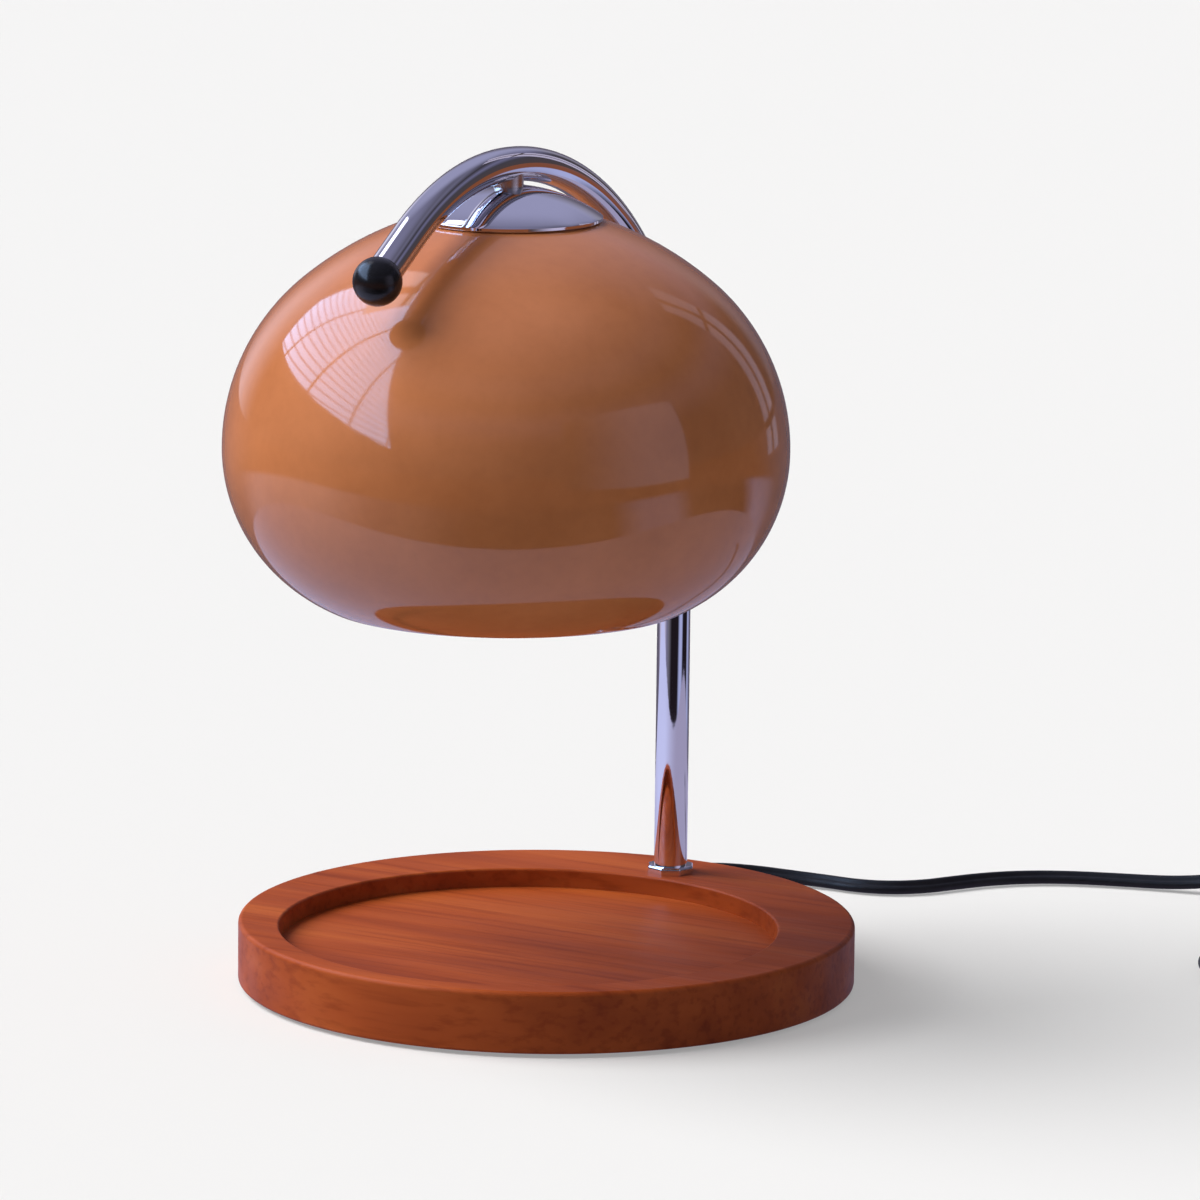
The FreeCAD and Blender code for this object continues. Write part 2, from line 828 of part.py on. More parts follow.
def lamp_wires():
    """Two wires from the terminal block up the arm and down the nipple to the holder."""
    wires = []
    bend_z = arm_top - back_bend_radius
    drop_y = shade_y + wire_bend_radius
    drop_z = bend_z + math.sqrt((back_bend_radius - wire_bend_radius) ** 2 - (drop_y - arm_apex_y) ** 2)
    leave_angle = math.atan2(drop_z - bend_z, drop_y - arm_apex_y)
    foot_y = post_reach - wire_foot_bend_radius
    foot_z = cover_top + seat_gap + wire_height

    def around(x, y, z, radius, angle):
        return vec(x, y + radius * math.cos(angle), z + radius * math.sin(angle))

    for x in wire_lines():
        foot_bend = [
            around(x, foot_y, foot_z + wire_foot_bend_radius, wire_foot_bend_radius, a)
            for a in (-math.pi / 2, -math.pi / 4, 0.0)
        ]
        back_bend = [
            around(x, arm_apex_y, bend_z, back_bend_radius, a) for a in (0.0, leave_angle / 2, leave_angle)
        ]
        drop_bend = [
            around(x, drop_y, drop_z, wire_bend_radius, a)
            for a in (leave_angle, (leave_angle + math.pi) / 2, math.pi)
        ]
        edges = [
            line(vec(x, terminal_y + terminal_length / 2, foot_z), foot_bend[0]),
            arc(*foot_bend),
            line(foot_bend[2], back_bend[0]),
            arc(*back_bend),
            arc(*drop_bend),
            line(drop_bend[2], vec(x, shade_y, holder_top - wire_end_depth)),
        ]
        wires.append(swept(edges, wire_diameter / 2))
    return wires


def terminal_block():
    low = cover_top + seat_gap
    high = low + terminal_height
    body = block(terminal_width, terminal_length, low, high, 0, terminal_y)
    for side in (-1, 1):
        x = side * terminal_width / 4
        well_low = high - terminal_screw_well_depth
        body = body.cut(cylinder(terminal_screw_well_diameter / 2, well_low, high + 1, x, terminal_y))
    return body


def inner_lead():
    """The lead inside the base, from the terminal block to the gland's inner end."""
    z = cover_top + seat_gap + inner_lead_diameter / 2 + 0.2
    x = -terminal_width / 4
    back = terminal_y + terminal_length / 2
    points = [
        vec(x, back, z),
        vec(x, back + 3.5, z),
        vec(x - 5.5, back + 5.0, z + 1.5),
        along_exit(gland_inner_end() - 6),
        along_exit(gland_inner_end()),
    ]
    return swept(cord_edges(points, "inner lead"), inner_lead_diameter / 2)


def gland_inner_end():
    return base_radius - gland_inner_reach


def gland():
    inner_end = gland_inner_end()
    flange_start = base_radius
    flange_end = flange_start + gland_flange_thickness
    body = exit_bar(gland_bore_diameter / 2, inner_end, flange_start)
    flange = exit_bar(gland_flange_diameter / 2, flange_start, flange_end)
    taper = Part.makeCone(
        gland_flange_diameter / 2 - gland_shoulder,
        gland_tip_diameter / 2,
        gland_taper_length,
        along_exit(flange_end),
        exit_direction,
    )
    return body.fuse(flange).fuse(taper).removeSplitter()


def gland_tip():
    return along_exit(base_radius + gland_flange_thickness + gland_taper_length)


def dimmer_end(side):
    a = math.radians(dimmer_turn)
    half = side * dimmer_length / 2
    return vec(dimmer_x + half * math.cos(a), dimmer_y + half * math.sin(a), dimmer_cord_z)


def coil_centre_line(turn):
    """Place on the coil after so many turns: in along the low layer and out along the top one."""
    angle = math.radians(coil_first_angle) - turn * 2 * math.pi
    from_reversal = turn - coil_turns / 2
    radius = coil_inner_radius + coil_pitch * abs(from_reversal)
    share = min(max(0.5 + from_reversal / coil_climb_turns, 0.0), 1.0)
    z = coil_low_z + coil_pitch * share * share * (3 - 2 * share)
    return vec(coil_x + radius * math.cos(angle), coil_y + radius * math.sin(angle), z)


def coil_heading(turn):
    """Direction of the coil's line, from two places close by on it."""
    step = 0.0005
    before = max(turn - step, 0.0)
    after = min(turn + step, coil_turns)
    return (coil_centre_line(after) - coil_centre_line(before)).normalize()


def arc_from(a, heading, b):
    """An arc that leaves a along heading and ends at b."""
    chord = b - a
    straight = chord * (1 / chord.Length)
    side = heading - straight * heading.dot(straight)
    if side.Length < 1e-9:
        return line(a, b)
    bend = heading.getAngle(straight)
    middle = (a + b) * 0.5 + side.normalize() * (chord.Length / 2 * math.tan(bend / 2))
    return arc(a, middle, b)


def biarc(a, heading_a, b, heading_b):
    """Two arcs from a to b that leave and arrive along the given headings."""
    chord = b - a
    both = heading_a + heading_b
    k = 2 * (1 - heading_a.dot(heading_b))
    along = chord.dot(both)
    reach = (-along + math.sqrt(along * along + 2 * k * chord.dot(chord) / 2)) / k
    corner_a = a + heading_a * reach
    corner_b = b - heading_b * reach
    middle = (corner_a + corner_b) * 0.5
    return [arc_from(a, heading_a, middle), arc_from(middle, (corner_b - corner_a).normalize(), b)]


def coil_stations():
    """Turns at which the biarcs meet: quarter turns in each layer and in the climb."""
    layer_turns = (coil_turns - coil_climb_turns) / 2
    stations = []
    start = 0.0
    for span in (layer_turns, coil_climb_turns, layer_turns):
        pieces = max(2, round(span * 4))
        stations = stations + [start + span * i / pieces for i in range(pieces)]
        start += span
    return stations + [coil_turns]


def cord_coil():
    stations = coil_stations()
    places = [coil_centre_line(t) for t in stations]
    headings = [coil_heading(t) for t in stations]
    edges = [line(places[0] - headings[0] * cord_diameter, places[0])]
    for i in range(len(stations) - 1):
        edges = edges + biarc(places[i], headings[i], places[i + 1], headings[i + 1])
    edges.append(line(places[-1], places[-1] + headings[-1] * cord_diameter))
    solid = swept(edges, cord_diameter / 2)
    length = sum(e.Length for e in edges)
    section = math.pi * cord_diameter ** 2 / 4
    print("coil length", round(length, 1), "volume share", round(solid.Volume / section / length, 4))
    print("coil least gap", round(coil_least_gap(edges), 2))
    return solid, length


def coil_least_gap(edges):
    """Least clear gap of the coil to itself, on points about a millimetre apart."""
    points = []
    lengths = []
    run = 0.0
    for edge in edges:
        count = max(2, int(edge.Length))
        start = edge.FirstParameter
        span = edge.LastParameter - start
        for i in range(count):
            points.append(edge.valueAt(start + span * i / count))
            lengths.append(run + edge.Length * i / count)
        run += edge.Length
    least = 1e9
    for i in range(len(points)):
        for j in range(i + 1, len(points)):
            if lengths[j] - lengths[i] > 4 * cord_diameter:
                least = min(least, (points[i] - points[j]).Length)
    return least - cord_diameter


def coil_tie():
    """A strap round the bundle of turns."""
    low = joint_gap
    inner = coil_inner_radius - cord_diameter / 2 - free_gap
    outer = coil_outer_radius + cord_diameter / 2 + free_gap
    top = coil_low_z + coil_pitch + cord_diameter / 2 + free_gap
    middle = (inner + outer) / 2
    width = outer - inner
    body = block(width + 2 * tie_wall, tie_width, low, top + tie_wall, middle, 0)
    hollow = block(width, tie_width + 1, low - 1, top, middle, 0)
    return turned(body.cut(hollow), coil_x, coil_y, tie_angle)


def lead_solids():
    route = [gland_tip()] + [vec(*p) for p in lead_route] + [dimmer_end(-1)]
    lead, lead_length = cord_tube(route, "lead")
    link_end = coil_centre_line(0.0) - coil_heading(0.0) * cord_diameter
    link_points = [dimmer_end(1)] + [vec(*p) for p in link_route] + [link_end]
    link, link_length = cord_tube(link_points, "link")
    coil, coil_length = cord_coil()
    tail_start = coil_centre_line(coil_turns) + coil_heading(coil_turns) * cord_diameter
    tail, tail_length = cord_tube([tail_start] + [vec(*p) for p in tail_route], "tail")
    total = lead_length + link_length + coil_length + tail_length
    print("free cord length", round(total, 1))
    return lead, link, coil, tail


def stadium(length, width, low, high):
    half = length / 2 - width / 2
    body = block(2 * half, width, low, high)
    for side in (-1, 1):
        body = body.fuse(cylinder(width / 2, low, high, side * half, 0))
    return body.removeSplitter()


def wheel_space(extra):
    radius = wheel_diameter / 2 + extra
    half = wheel_thickness / 2 + extra
    return cylinder(radius, dimmer_cord_z - half, dimmer_cord_z + half, 0, wheel_offset)


def dimmer_screw_places():
    return [(side * dimmer_screw_reach, 0.0) for side in (-1, 1)]


def dimmer_case(low, high, cut_low, cut_high, round_at):
    """Half of the hollow case, with its screw posts, axle boss and room for the wheel."""
    body = stadium(dimmer_length, dimmer_width, low, high)
    body = body.makeFillet(dimmer_round, level_edges(body, round_at))
    inner = stadium(dimmer_length - 2 * dimmer_wall, dimmer_width - 2 * dimmer_wall, cut_low, cut_high)
    body = body.cut(inner)
    for x, y in dimmer_screw_places():
        body = body.fuse(cylinder(dimmer_screw_head_diameter / 2 + dimmer_screw_post_wall, low, high, x, y))
    body = body.fuse(cylinder(axle_diameter / 2 + axle_boss_wall, low, high, 0, wheel_offset))
    body = body.removeSplitter().cut(wheel_space(wheel_slot_gap))
    seat_low = dimmer_wall / 2
    seat_high = dimmer_height - dimmer_wall / 2
    return body.cut(cylinder(axle_diameter / 2 + joint_gap, seat_low, seat_high, 0, wheel_offset))


def dimmer_lower_case():
    body = dimmer_case(0.0, dimmer_cord_z, dimmer_wall, dimmer_cord_z + 1, 0.0)
    hole_top = dimmer_height - dimmer_screw_hole_end
    for x, y in dimmer_screw_places():
        head_hole = dimmer_screw_head_diameter / 2 + joint_gap
        body = body.cut(cylinder(head_hole, -1, dimmer_screw_head_depth, x, y))
        body = body.cut(cylinder(dimmer_screw_diameter / 2 + joint_gap, -1, hole_top, x, y))
    return turned(body, dimmer_x, dimmer_y, dimmer_turn)


def dimmer_upper_case():
    top_cut = dimmer_height - dimmer_wall
    body = dimmer_case(dimmer_cord_z, dimmer_height, dimmer_cord_z - 1, top_cut, dimmer_height)
    hole_top = dimmer_height - dimmer_screw_hole_end
    for x, y in dimmer_screw_places():
        body = body.cut(cylinder(dimmer_screw_diameter / 2 + joint_gap, -1, hole_top, x, y))
    return turned(body, dimmer_x, dimmer_y, dimmer_turn)


def dimmer_screws():
    screws = []
    for x, y in dimmer_screw_places():
        head_low = dimmer_screw_head_recess
        head = cylinder(dimmer_screw_head_diameter / 2, head_low, dimmer_screw_head_depth, x, y)
        end = dimmer_height - dimmer_screw_end
        shank = cylinder(dimmer_screw_diameter / 2, dimmer_screw_head_depth, end, x, y)
        slot_top = head_low + dimmer_screw_slot_depth
        slot = block(dimmer_screw_head_diameter + 1, dimmer_screw_slot_width, 0, slot_top, x, y)
        screw = head.fuse(shank).removeSplitter().cut(slot)
        screws.append(turned(screw, dimmer_x, dimmer_y, dimmer_turn))
    return screws


def dimmer_wheel():
    half = wheel_thickness / 2
    low = dimmer_cord_z - half
    high = dimmer_cord_z + half
    body = cylinder(wheel_diameter / 2, low, high)
    for i in range(wheel_rib_count):
        a = i * 2 * math.pi / wheel_rib_count
        reach = wheel_diameter / 2 + wheel_groove_radius - wheel_rib_depth
        x = reach * math.cos(a)
        y = reach * math.sin(a)
        body = body.cut(cylinder(wheel_groove_radius, low - 1, high + 1, x, y))
    body = body.cut(cylinder(axle_diameter / 2 + axle_gap, low - 1, high + 1))
    body.translate(vec(0, wheel_offset, 0))
    return turned(body, dimmer_x, dimmer_y, dimmer_turn)


def wheel_axle():
    low = dimmer_wall / 2 + axle_end_gap
    bar = cylinder(axle_diameter / 2, low, dimmer_height - low, 0, wheel_offset)
    return turned(bar, dimmer_x, dimmer_y, dimmer_turn)


def dimmer_board():
    y = -dimmer_width / 2 + dimmer_wall + board_gap + board_width / 2
    top = dimmer_wall + board_thickness
    body = block(board_length, board_width, dimmer_wall, top, 0, y)
    for i in range(choke_count):
        x = (i - (choke_count - 1) / 2) * choke_pitch
        body = body.fuse(cylinder(choke_diameter / 2, top, top + choke_height, x, y))
    return turned(body.removeSplitter(), dimmer_x, dimmer_y, dimmer_turn)


def plug_place(shape):
    """Puts a shape made along +X to its place at the end of the tail."""
    start = vec(*tail_route[-1])
    heading = start - vec(*tail_route[-2])
    placed = shape.copy()
    placed.rotate(vec(0, 0, 0), vec(0, 0, 1), math.degrees(math.atan2(heading.y, heading.x)))
    placed.translate(start)
    return placed


def plug_body():
    half = plug_thickness / 2
    neck = Part.makeCone(
        cord_diameter / 2 + 0.8, plug_neck_diameter / 2 + 1.5, plug_neck_length, vec(0, 0, 0), vec(1, 0, 0)
    )
    middle = plug_neck_length - plug_overlap + plug_body_length / 2
    body = block(plug_body_length, plug_width, -half, half, middle, 0)
    body = body.makeFillet(plug_round, body.Edges)
    return plug_place(neck.fuse(body).removeSplitter())


def plug_blades():
    face = plug_neck_length - plug_overlap + plug_body_length
    blades = []
    for side in (-1, 1):
        y = side * blade_pitch / 2
        blade = Part.makeBox(
            blade_length, blade_thickness, blade_width, vec(face, y - blade_thickness / 2, -blade_width / 2)
        )
        hole_x = face + blade_length - blade_hole_from_tip
        hole = Part.makeCylinder(
            blade_hole_radius, 2 * blade_thickness, vec(hole_x, y - blade_thickness, 0), vec(0, 1, 0)
        )
        blades.append(plug_place(blade.cut(hole)))
    return blades


def write(name, solids):
    group = solids if isinstance(solids, list) else [solids]
    whole = []
    for solid in group:
        whole = whole + (solid.Solids if solid.Solids else [solid])
    shape = whole[0] if len(whole) == 1 else Part.makeCompound(whole)
    if not shape.isValid():
        print("not valid:", name)
    shape.exportStep("parts/" + name + ".step")


def main():
    os.makedirs("parts", exist_ok=True)
    lead, link, coil, tail = lead_solids()
    nodes = {
        "wood_base": base(),
        "bottom_cover": bottom_cover(),
        "cover_screws": cover_screws(),
        "base_mat": base_mat(),
        "arm_tube": arm(),
        "arm_foot_stud": foot_stud(),
        "arm_collar_nut": foot_nut(),
        "arm_clamp_washer": clamp_washer(),
        "arm_clamp_nut": clamp_nut(),
        "ball_end": ball_end(),
        "ball_pin": ball_pin(),
        "shade_nipple": shade_nipple(),
        "dome_cap": dome_cap(),
        "dome_spacer": dome_spacer(),
        "shade": shade(),
        "shade_washer": shade_washer(),
        "holder_strap": holder_strap(),
        "shade_nut": shade_nut(),
        "holder_spacers": holder_spacers(),
        "holder_screws": holder_screws(),
        "lamp_holder": lamp_holder(),
        "bulb_foot": bulb_foot(),
        "bulb_pins": bulb_pins(),
        "bulb_reflector": bulb_reflector(),
        "bulb_lens": bulb_lens(),
        "bulb_capsule": bulb_capsule(),
        "lamp_wires": lamp_wires(),
        "terminal_block": terminal_block(),
        "inner_lead": inner_lead(),
        "cord_gland": gland(),
        "cord_lead": lead,
        "cord_link": link,
        "cord_coil": coil,
        "cord_tail": tail,
        "coil_tie": coil_tie(),
        "dimmer_lower_case": dimmer_lower_case(),
        "dimmer_upper_case": dimmer_upper_case(),
        "dimmer_screws": dimmer_screws(),
        "dimmer_wheel": dimmer_wheel(),
        "wheel_axle": wheel_axle(),
        "dimmer_board": dimmer_board(),
        "plug_body": plug_body(),
        "plug_blades": plug_blades(),
    }
    for name, solids in nodes.items():
        write(name, solids)


main()
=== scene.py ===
import math

import bmesh
import bpy
from mathutils import Matrix, Vector


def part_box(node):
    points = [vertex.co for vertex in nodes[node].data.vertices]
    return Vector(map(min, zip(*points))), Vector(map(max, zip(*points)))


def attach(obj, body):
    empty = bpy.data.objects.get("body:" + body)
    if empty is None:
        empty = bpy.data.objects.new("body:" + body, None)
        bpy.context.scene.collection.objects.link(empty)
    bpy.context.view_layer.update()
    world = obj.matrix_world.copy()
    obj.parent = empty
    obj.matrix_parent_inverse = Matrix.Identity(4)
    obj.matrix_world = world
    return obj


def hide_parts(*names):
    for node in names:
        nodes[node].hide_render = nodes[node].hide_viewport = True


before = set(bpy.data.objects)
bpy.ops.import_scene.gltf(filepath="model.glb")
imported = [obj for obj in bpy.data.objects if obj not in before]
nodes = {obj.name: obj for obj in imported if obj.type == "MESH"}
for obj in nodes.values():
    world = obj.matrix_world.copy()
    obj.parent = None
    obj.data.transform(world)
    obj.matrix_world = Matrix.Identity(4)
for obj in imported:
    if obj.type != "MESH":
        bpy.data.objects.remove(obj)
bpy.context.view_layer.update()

# Camera
# A long lens from the front right of the lamp, a little above it, as in the photograph.
# The whole frame is square, and the camera leans by half a degree.
camera_azimuth = math.radians(30.5)
camera_elevation = math.radians(11.13)
camera_roll = math.radians(-0.65)
camera_distance = 2.5
camera_aim = Vector((0.01482, 0.0066, 0.12689))
camera_lens = 233.25
camera_back = Vector((
    math.sin(camera_azimuth) * math.cos(camera_elevation),
    -math.cos(camera_azimuth) * math.cos(camera_elevation),
    math.sin(camera_elevation),
))
camera_right = Vector((math.cos(camera_azimuth), math.sin(camera_azimuth), 0))
camera_up = camera_back.cross(camera_right)
camera_data = bpy.data.cameras.new("camera")
camera_data.sensor_width = 36
camera_data.lens = camera_lens
camera_data.clip_end = 50
camera = bpy.data.objects.new("camera", camera_data)
bpy.context.collection.objects.link(camera)
across = camera_right * math.cos(camera_roll) - camera_up * math.sin(camera_roll)
upward = camera_right * math.sin(camera_roll) + camera_up * math.cos(camera_roll)
camera.matrix_world = Matrix((across, upward, camera_back)).transposed().to_4x4()
camera.location = camera_aim + camera_back * camera_distance
bpy.context.scene.camera = camera
bpy.context.scene.view_settings.view_transform = "Standard"


# Wooden base
# A turned disc of hardwood under a reddish brown lacquer, with a round tray sunk into it
# in front of the arm. Its edges are broken by small rounds, and its foot is hollowed for the cover.
base_low, base_high = (Vector(corner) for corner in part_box("wood_base"))
base_radius = base_high.x
base_top = base_high.z
base_sides = 224
base_top_round = 0.0016
base_foot_round = 0.001
tray_radius = 0.0805
tray_shift = -0.0115
tray_depth = 0.0063
tray_round = 0.0009
tray_floor_ring = 0.003
cover_seat_radius = 0.0941
cover_seat_depth = 0.0014


def start_piece(name):
    """Names the primitive that was just added, applies its place and opens it for editing."""
    piece = bpy.context.object
    piece.name = name
    piece.data.name = name
    bpy.ops.object.transform_apply(location=True, rotation=True, scale=True)
    bpy.ops.object.mode_set(mode="EDIT")
    return piece


def choose(piece, kind, test):
    """Selects the faces or edges of the open mesh whose middle and direction pass the test."""
    mesh = bmesh.from_edit_mesh(piece.data)
    bpy.ops.mesh.select_all(action="DESELECT")
    bpy.ops.mesh.select_mode(type=kind)
    if kind == "FACE":
        for face in mesh.faces:
            face.select_set(test(face.calc_center_median(), face.normal))
    else:
        for edge in mesh.edges:
            a, b = (v.co for v in edge.verts)
            edge.select_set(test((a + b) / 2, b - a))
    mesh.select_flush_mode()
    bmesh.update_edit_mesh(piece.data)


def close_piece(piece, smooth_angle=35):
    """Ends the editing: faces point outwards, flat stays flat and round stays round."""
    bpy.ops.mesh.select_all(action="SELECT")
    bpy.ops.mesh.normals_make_consistent(inside=False)
    bpy.ops.object.mode_set(mode="OBJECT")
    bpy.ops.object.select_all(action="DESELECT")
    piece.select_set(True)
    bpy.context.view_layer.objects.active = piece
    bpy.ops.object.shade_smooth_by_angle(angle=math.radians(smooth_angle))
    even = piece.modifiers.new("even", "WEIGHTED_NORMAL")
    even.keep_sharp = True
    bpy.ops.object.modifier_apply(modifier=even.name)


def near_ring(point, radius, z, centre_y=0.0):
    """True where a point lies on a level ring round the upright line through (0, centre_y)."""
    slack = 0.0006
    reach = math.hypot(point.x, point.y - centre_y)
    return abs(reach - radius) < slack and abs(point.z - z) < slack


def new_material(name, roughness, metallic=0.0, ior=1.5):
    """A surface whose steady values are set on the shader itself."""
    material = bpy.data.materials.new(name)
    material.use_nodes = True
    shader = material.node_tree.nodes["Principled BSDF"]
    shader.inputs["Roughness"].default_value = roughness
    shader.inputs["Metallic"].default_value = metallic
    shader.inputs["IOR"].default_value = ior
    return material, material.node_tree, shader


def cloudy(tree, size, stretch=(1, 1, 1), detail=4, turn=(0, 0, 0)):
    """Soft random pattern on the piece, with patches of about this size in metres."""
    place = tree.nodes.new("ShaderNodeTexCoord")
    mapping = tree.nodes.new("ShaderNodeMapping")
    mapping.inputs["Rotation"].default_value = turn
    mapping.inputs["Scale"].default_value = stretch
    pattern = tree.nodes.new("ShaderNodeTexNoise")
    pattern.inputs["Scale"].default_value = 1 / size
    pattern.inputs["Detail"].default_value = detail
    tree.links.new(place.outputs["Object"], mapping.inputs["Vector"])
    tree.links.new(mapping.outputs["Vector"], pattern.inputs["Vector"])
    return pattern.outputs["Fac"]


def toned(tree, source, stops):
    """Turns a pattern into colours: each stop is a place from 0 to 1 and a colour."""
    ramp = tree.nodes.new("ShaderNodeValToRGB")
    while len(ramp.color_ramp.elements) < len(stops):
        ramp.color_ramp.elements.new(0.5)
    for element, (place, colour) in zip(ramp.color_ramp.elements, stops):
        element.position = place
        element.color = (*colour, 1)
    tree.links.new(source, ramp.inputs["Fac"])
    return ramp.outputs["Color"]


def multiplied(tree, amount, first, second):
    """Multiplies one colour by another, by this amount."""
    mix = tree.nodes.new("ShaderNodeMix")
    mix.data_type = "RGBA"
    mix.blend_type = "MULTIPLY"
    mix.inputs["Factor"].default_value = amount
    tree.links.new(first, mix.inputs["A"])
    tree.links.new(second, mix.inputs["B"])
    return mix.outputs["Result"]


def spread(tree, source, low, high):
    """Stretches a pattern to values between low and high."""
    scale = tree.nodes.new("ShaderNodeMapRange")
    scale.inputs["From Min"].default_value = 0.3
    scale.inputs["From Max"].default_value = 0.7
    scale.inputs["To Min"].default_value = low
    scale.inputs["To Max"].default_value = high
    tree.links.new(source, scale.inputs["Value"])
    return scale.outputs["Result"]


def tinted(tree, shader, size, dark, light):
    """Lets the colour drift between two tones, in clouds of about this size in metres."""
    tint = toned(tree, cloudy(tree, size), [(0.3, dark), (0.7, light)])
    tree.links.new(tint, shader.inputs["Base Color"])


def worn(tree, shader, source, low, high):
    """Lets the roughness drift between two values."""
    tree.links.new(spread(tree, source, low, high), shader.inputs["Roughness"])


def raised(tree, shader, source, depth):
    """Gives the surface a fine relief of this depth in metres."""
    relief = tree.nodes.new("ShaderNodeBump")
    relief.inputs["Distance"].default_value = depth
    tree.links.new(source, relief.inputs["Height"])
    tree.links.new(relief.outputs["Normal"], shader.inputs["Normal"])


bpy.ops.object.select_all(action="DESELECT")
bpy.ops.mesh.primitive_cylinder_add(
    vertices=base_sides, radius=base_radius, depth=base_top - base_low.z, end_fill_type="NGON",
    location=(0, 0, (base_top + base_low.z) / 2),
)
base = start_piece("wooden_base")
choose(base, "FACE", lambda middle, normal: normal.z > 0.9)
bpy.ops.mesh.inset(thickness=base_radius - tray_radius)
bpy.ops.transform.translate(value=(0, tray_shift, 0))
bpy.ops.mesh.extrude_region_move(TRANSFORM_OT_translate={"value": (0, 0, -tray_depth)})
bpy.ops.mesh.inset(thickness=tray_floor_ring)
choose(base, "FACE", lambda middle, normal: normal.z < -0.9)
bpy.ops.mesh.inset(thickness=base_radius - cover_seat_radius)
bpy.ops.mesh.extrude_region_move(TRANSFORM_OT_translate={"value": (0, 0, cover_seat_depth)})
choose(base, "EDGE", lambda middle, run: near_ring(middle, base_radius, base_top))
bpy.ops.mesh.bevel(offset=base_top_round, segments=5, affect="EDGES")
choose(base, "EDGE", lambda middle, run: near_ring(middle, base_radius, base_low.z))
bpy.ops.mesh.bevel(offset=base_foot_round, segments=3, affect="EDGES")
choose(base, "EDGE", lambda middle, run: near_ring(middle, tray_radius, base_top, tray_shift))
bpy.ops.mesh.bevel(offset=tray_round, segments=4, affect="EDGES")
close_piece(base)

wood, tree, shader = new_material("lacquered_wood", 0.45, ior=1.38)
shader.inputs["Specular IOR Level"].default_value = 0.2
grain_turn = (0, 0, math.radians(-24))
figure = toned(tree, cloudy(tree, 0.06, (0.35, 3.0, 3.0), 5, grain_turn), [
    (0.30, (0.265, 0.045, 0.0095)), (0.52, (0.375, 0.072, 0.0150)), (0.72, (0.460, 0.105, 0.023)),
])
pores = toned(tree, cloudy(tree, 0.004, (0.06, 1.6, 1.6), 3, grain_turn), [
    (0.34, (0.72, 0.64, 0.6)), (0.5, (1, 1, 1)), (1.0, (1, 1, 1)),
])
tree.links.new(multiplied(tree, 0.7, figure, pores), shader.inputs["Base Color"])
worn(tree, shader, cloudy(tree, 0.012, (0.3, 1, 1), 3, grain_turn), 0.40, 0.54)
raised(tree, shader, cloudy(tree, 0.004, (0.06, 1.6, 1.6), 2, grain_turn), 0.00004)
base.data.materials.append(wood)
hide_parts("wood_base")
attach(base, "root")


# Arm
# One chrome plated steel tube: it stands at the back of the base, bends over the shade in a
# wide arc, bends down in front and ends in a short straight with the ball.
post_y = 0.080
arm_radius = 0.0055
tube_sides = 64
arm_top = 0.271
apex_y = -0.033
back_bend = post_y - apex_y
back_steps = 56
front_bend = 0.100
front_steps = 24
front_turn = math.radians(33)
front_straight = 0.0157

bpy.ops.object.select_all(action="DESELECT")
bpy.ops.mesh.primitive_circle_add(
    vertices=tube_sides, radius=arm_radius, location=(0, post_y, base_top)
)
arm = start_piece("bent_arm")
bpy.ops.mesh.select_all(action="SELECT")
post_height = arm_top - back_bend - base_top
bpy.ops.mesh.extrude_region_move(TRANSFORM_OT_translate={"value": (0, 0, post_height)})
for steps, bend, turn in (
    (back_steps, back_bend, math.radians(90)), (front_steps, front_bend, front_turn),
):
    bend_middle = (0, apex_y, arm_top - bend)
    bpy.ops.mesh.spin(steps=steps, angle=-turn, center=bend_middle, axis=(1, 0, 0))
tip_run = Vector((0, -math.cos(front_turn), -math.sin(front_turn)))
bpy.ops.mesh.extrude_region_move(TRANSFORM_OT_translate={"value": tip_run * front_straight})
bpy.ops.mesh.select_all(action="SELECT")
bpy.ops.mesh.remove_doubles(threshold=0.00001)
bpy.ops.mesh.fill_holes(sides=0)
close_piece(arm)

chrome, tree, shader = new_material("polished_chrome", 0.03, metallic=1.0)
tinted(tree, shader, 0.03, (0.80, 0.80, 0.85), (0.86, 0.86, 0.90))
worn(tree, shader, cloudy(tree, 0.02), 0.02, 0.06)
raised(tree, shader, cloudy(tree, 0.02), 0.00003)
arm.data.materials.append(chrome)
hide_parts("arm_tube")
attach(arm, "root")


# Collar nut
# A thin chrome nut with eight flats that clamps the foot of the arm down on the wood.
# Its upper corners are turned off, and the tube passes through its bore.
nut_low, nut_high = (Vector(corner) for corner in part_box("arm_collar_nut"))
nut_flats = 0.015
nut_turn = math.radians(-37.5)
nut_top_round = 0.0009
nut_corner_round = 0.0003
bore_slack = 0.00002
bore_depth = 0.02

bpy.ops.object.select_all(action="DESELECT")
bpy.ops.mesh.primitive_cylinder_add(
    vertices=8, radius=nut_flats / 2 / math.cos(math.pi / 8), depth=nut_high.z - nut_low.z,
    location=(0, post_y, (nut_low.z + nut_high.z) / 2), rotation=(0, 0, nut_turn),
)
nut = start_piece("collar_nut")
choose(nut, "EDGE", lambda middle, run: middle.z > nut_high.z - 0.0001)
bpy.ops.mesh.bevel(offset=nut_top_round, segments=3, affect="EDGES")
choose(nut, "EDGE", lambda middle, run: abs(run.normalized().z) > 0.7)
bpy.ops.mesh.bevel(offset=nut_corner_round, segments=2, affect="EDGES")
close_piece(nut, 25)
bpy.ops.mesh.primitive_cylinder_add(
    vertices=tube_sides, radius=arm_radius + bore_slack, depth=bore_depth,
    location=(0, post_y, nut_low.z),
)
bore = bpy.context.object
cut = nut.modifiers.new("bore", "BOOLEAN")
cut.object = bore
bpy.ops.object.select_all(action="DESELECT")
nut.select_set(True)
bpy.context.view_layer.objects.active = nut
bpy.ops.object.modifier_apply(modifier=cut.name)
bpy.data.objects.remove(bore)
nut.data.materials.clear()
nut.data.materials.append(chrome)
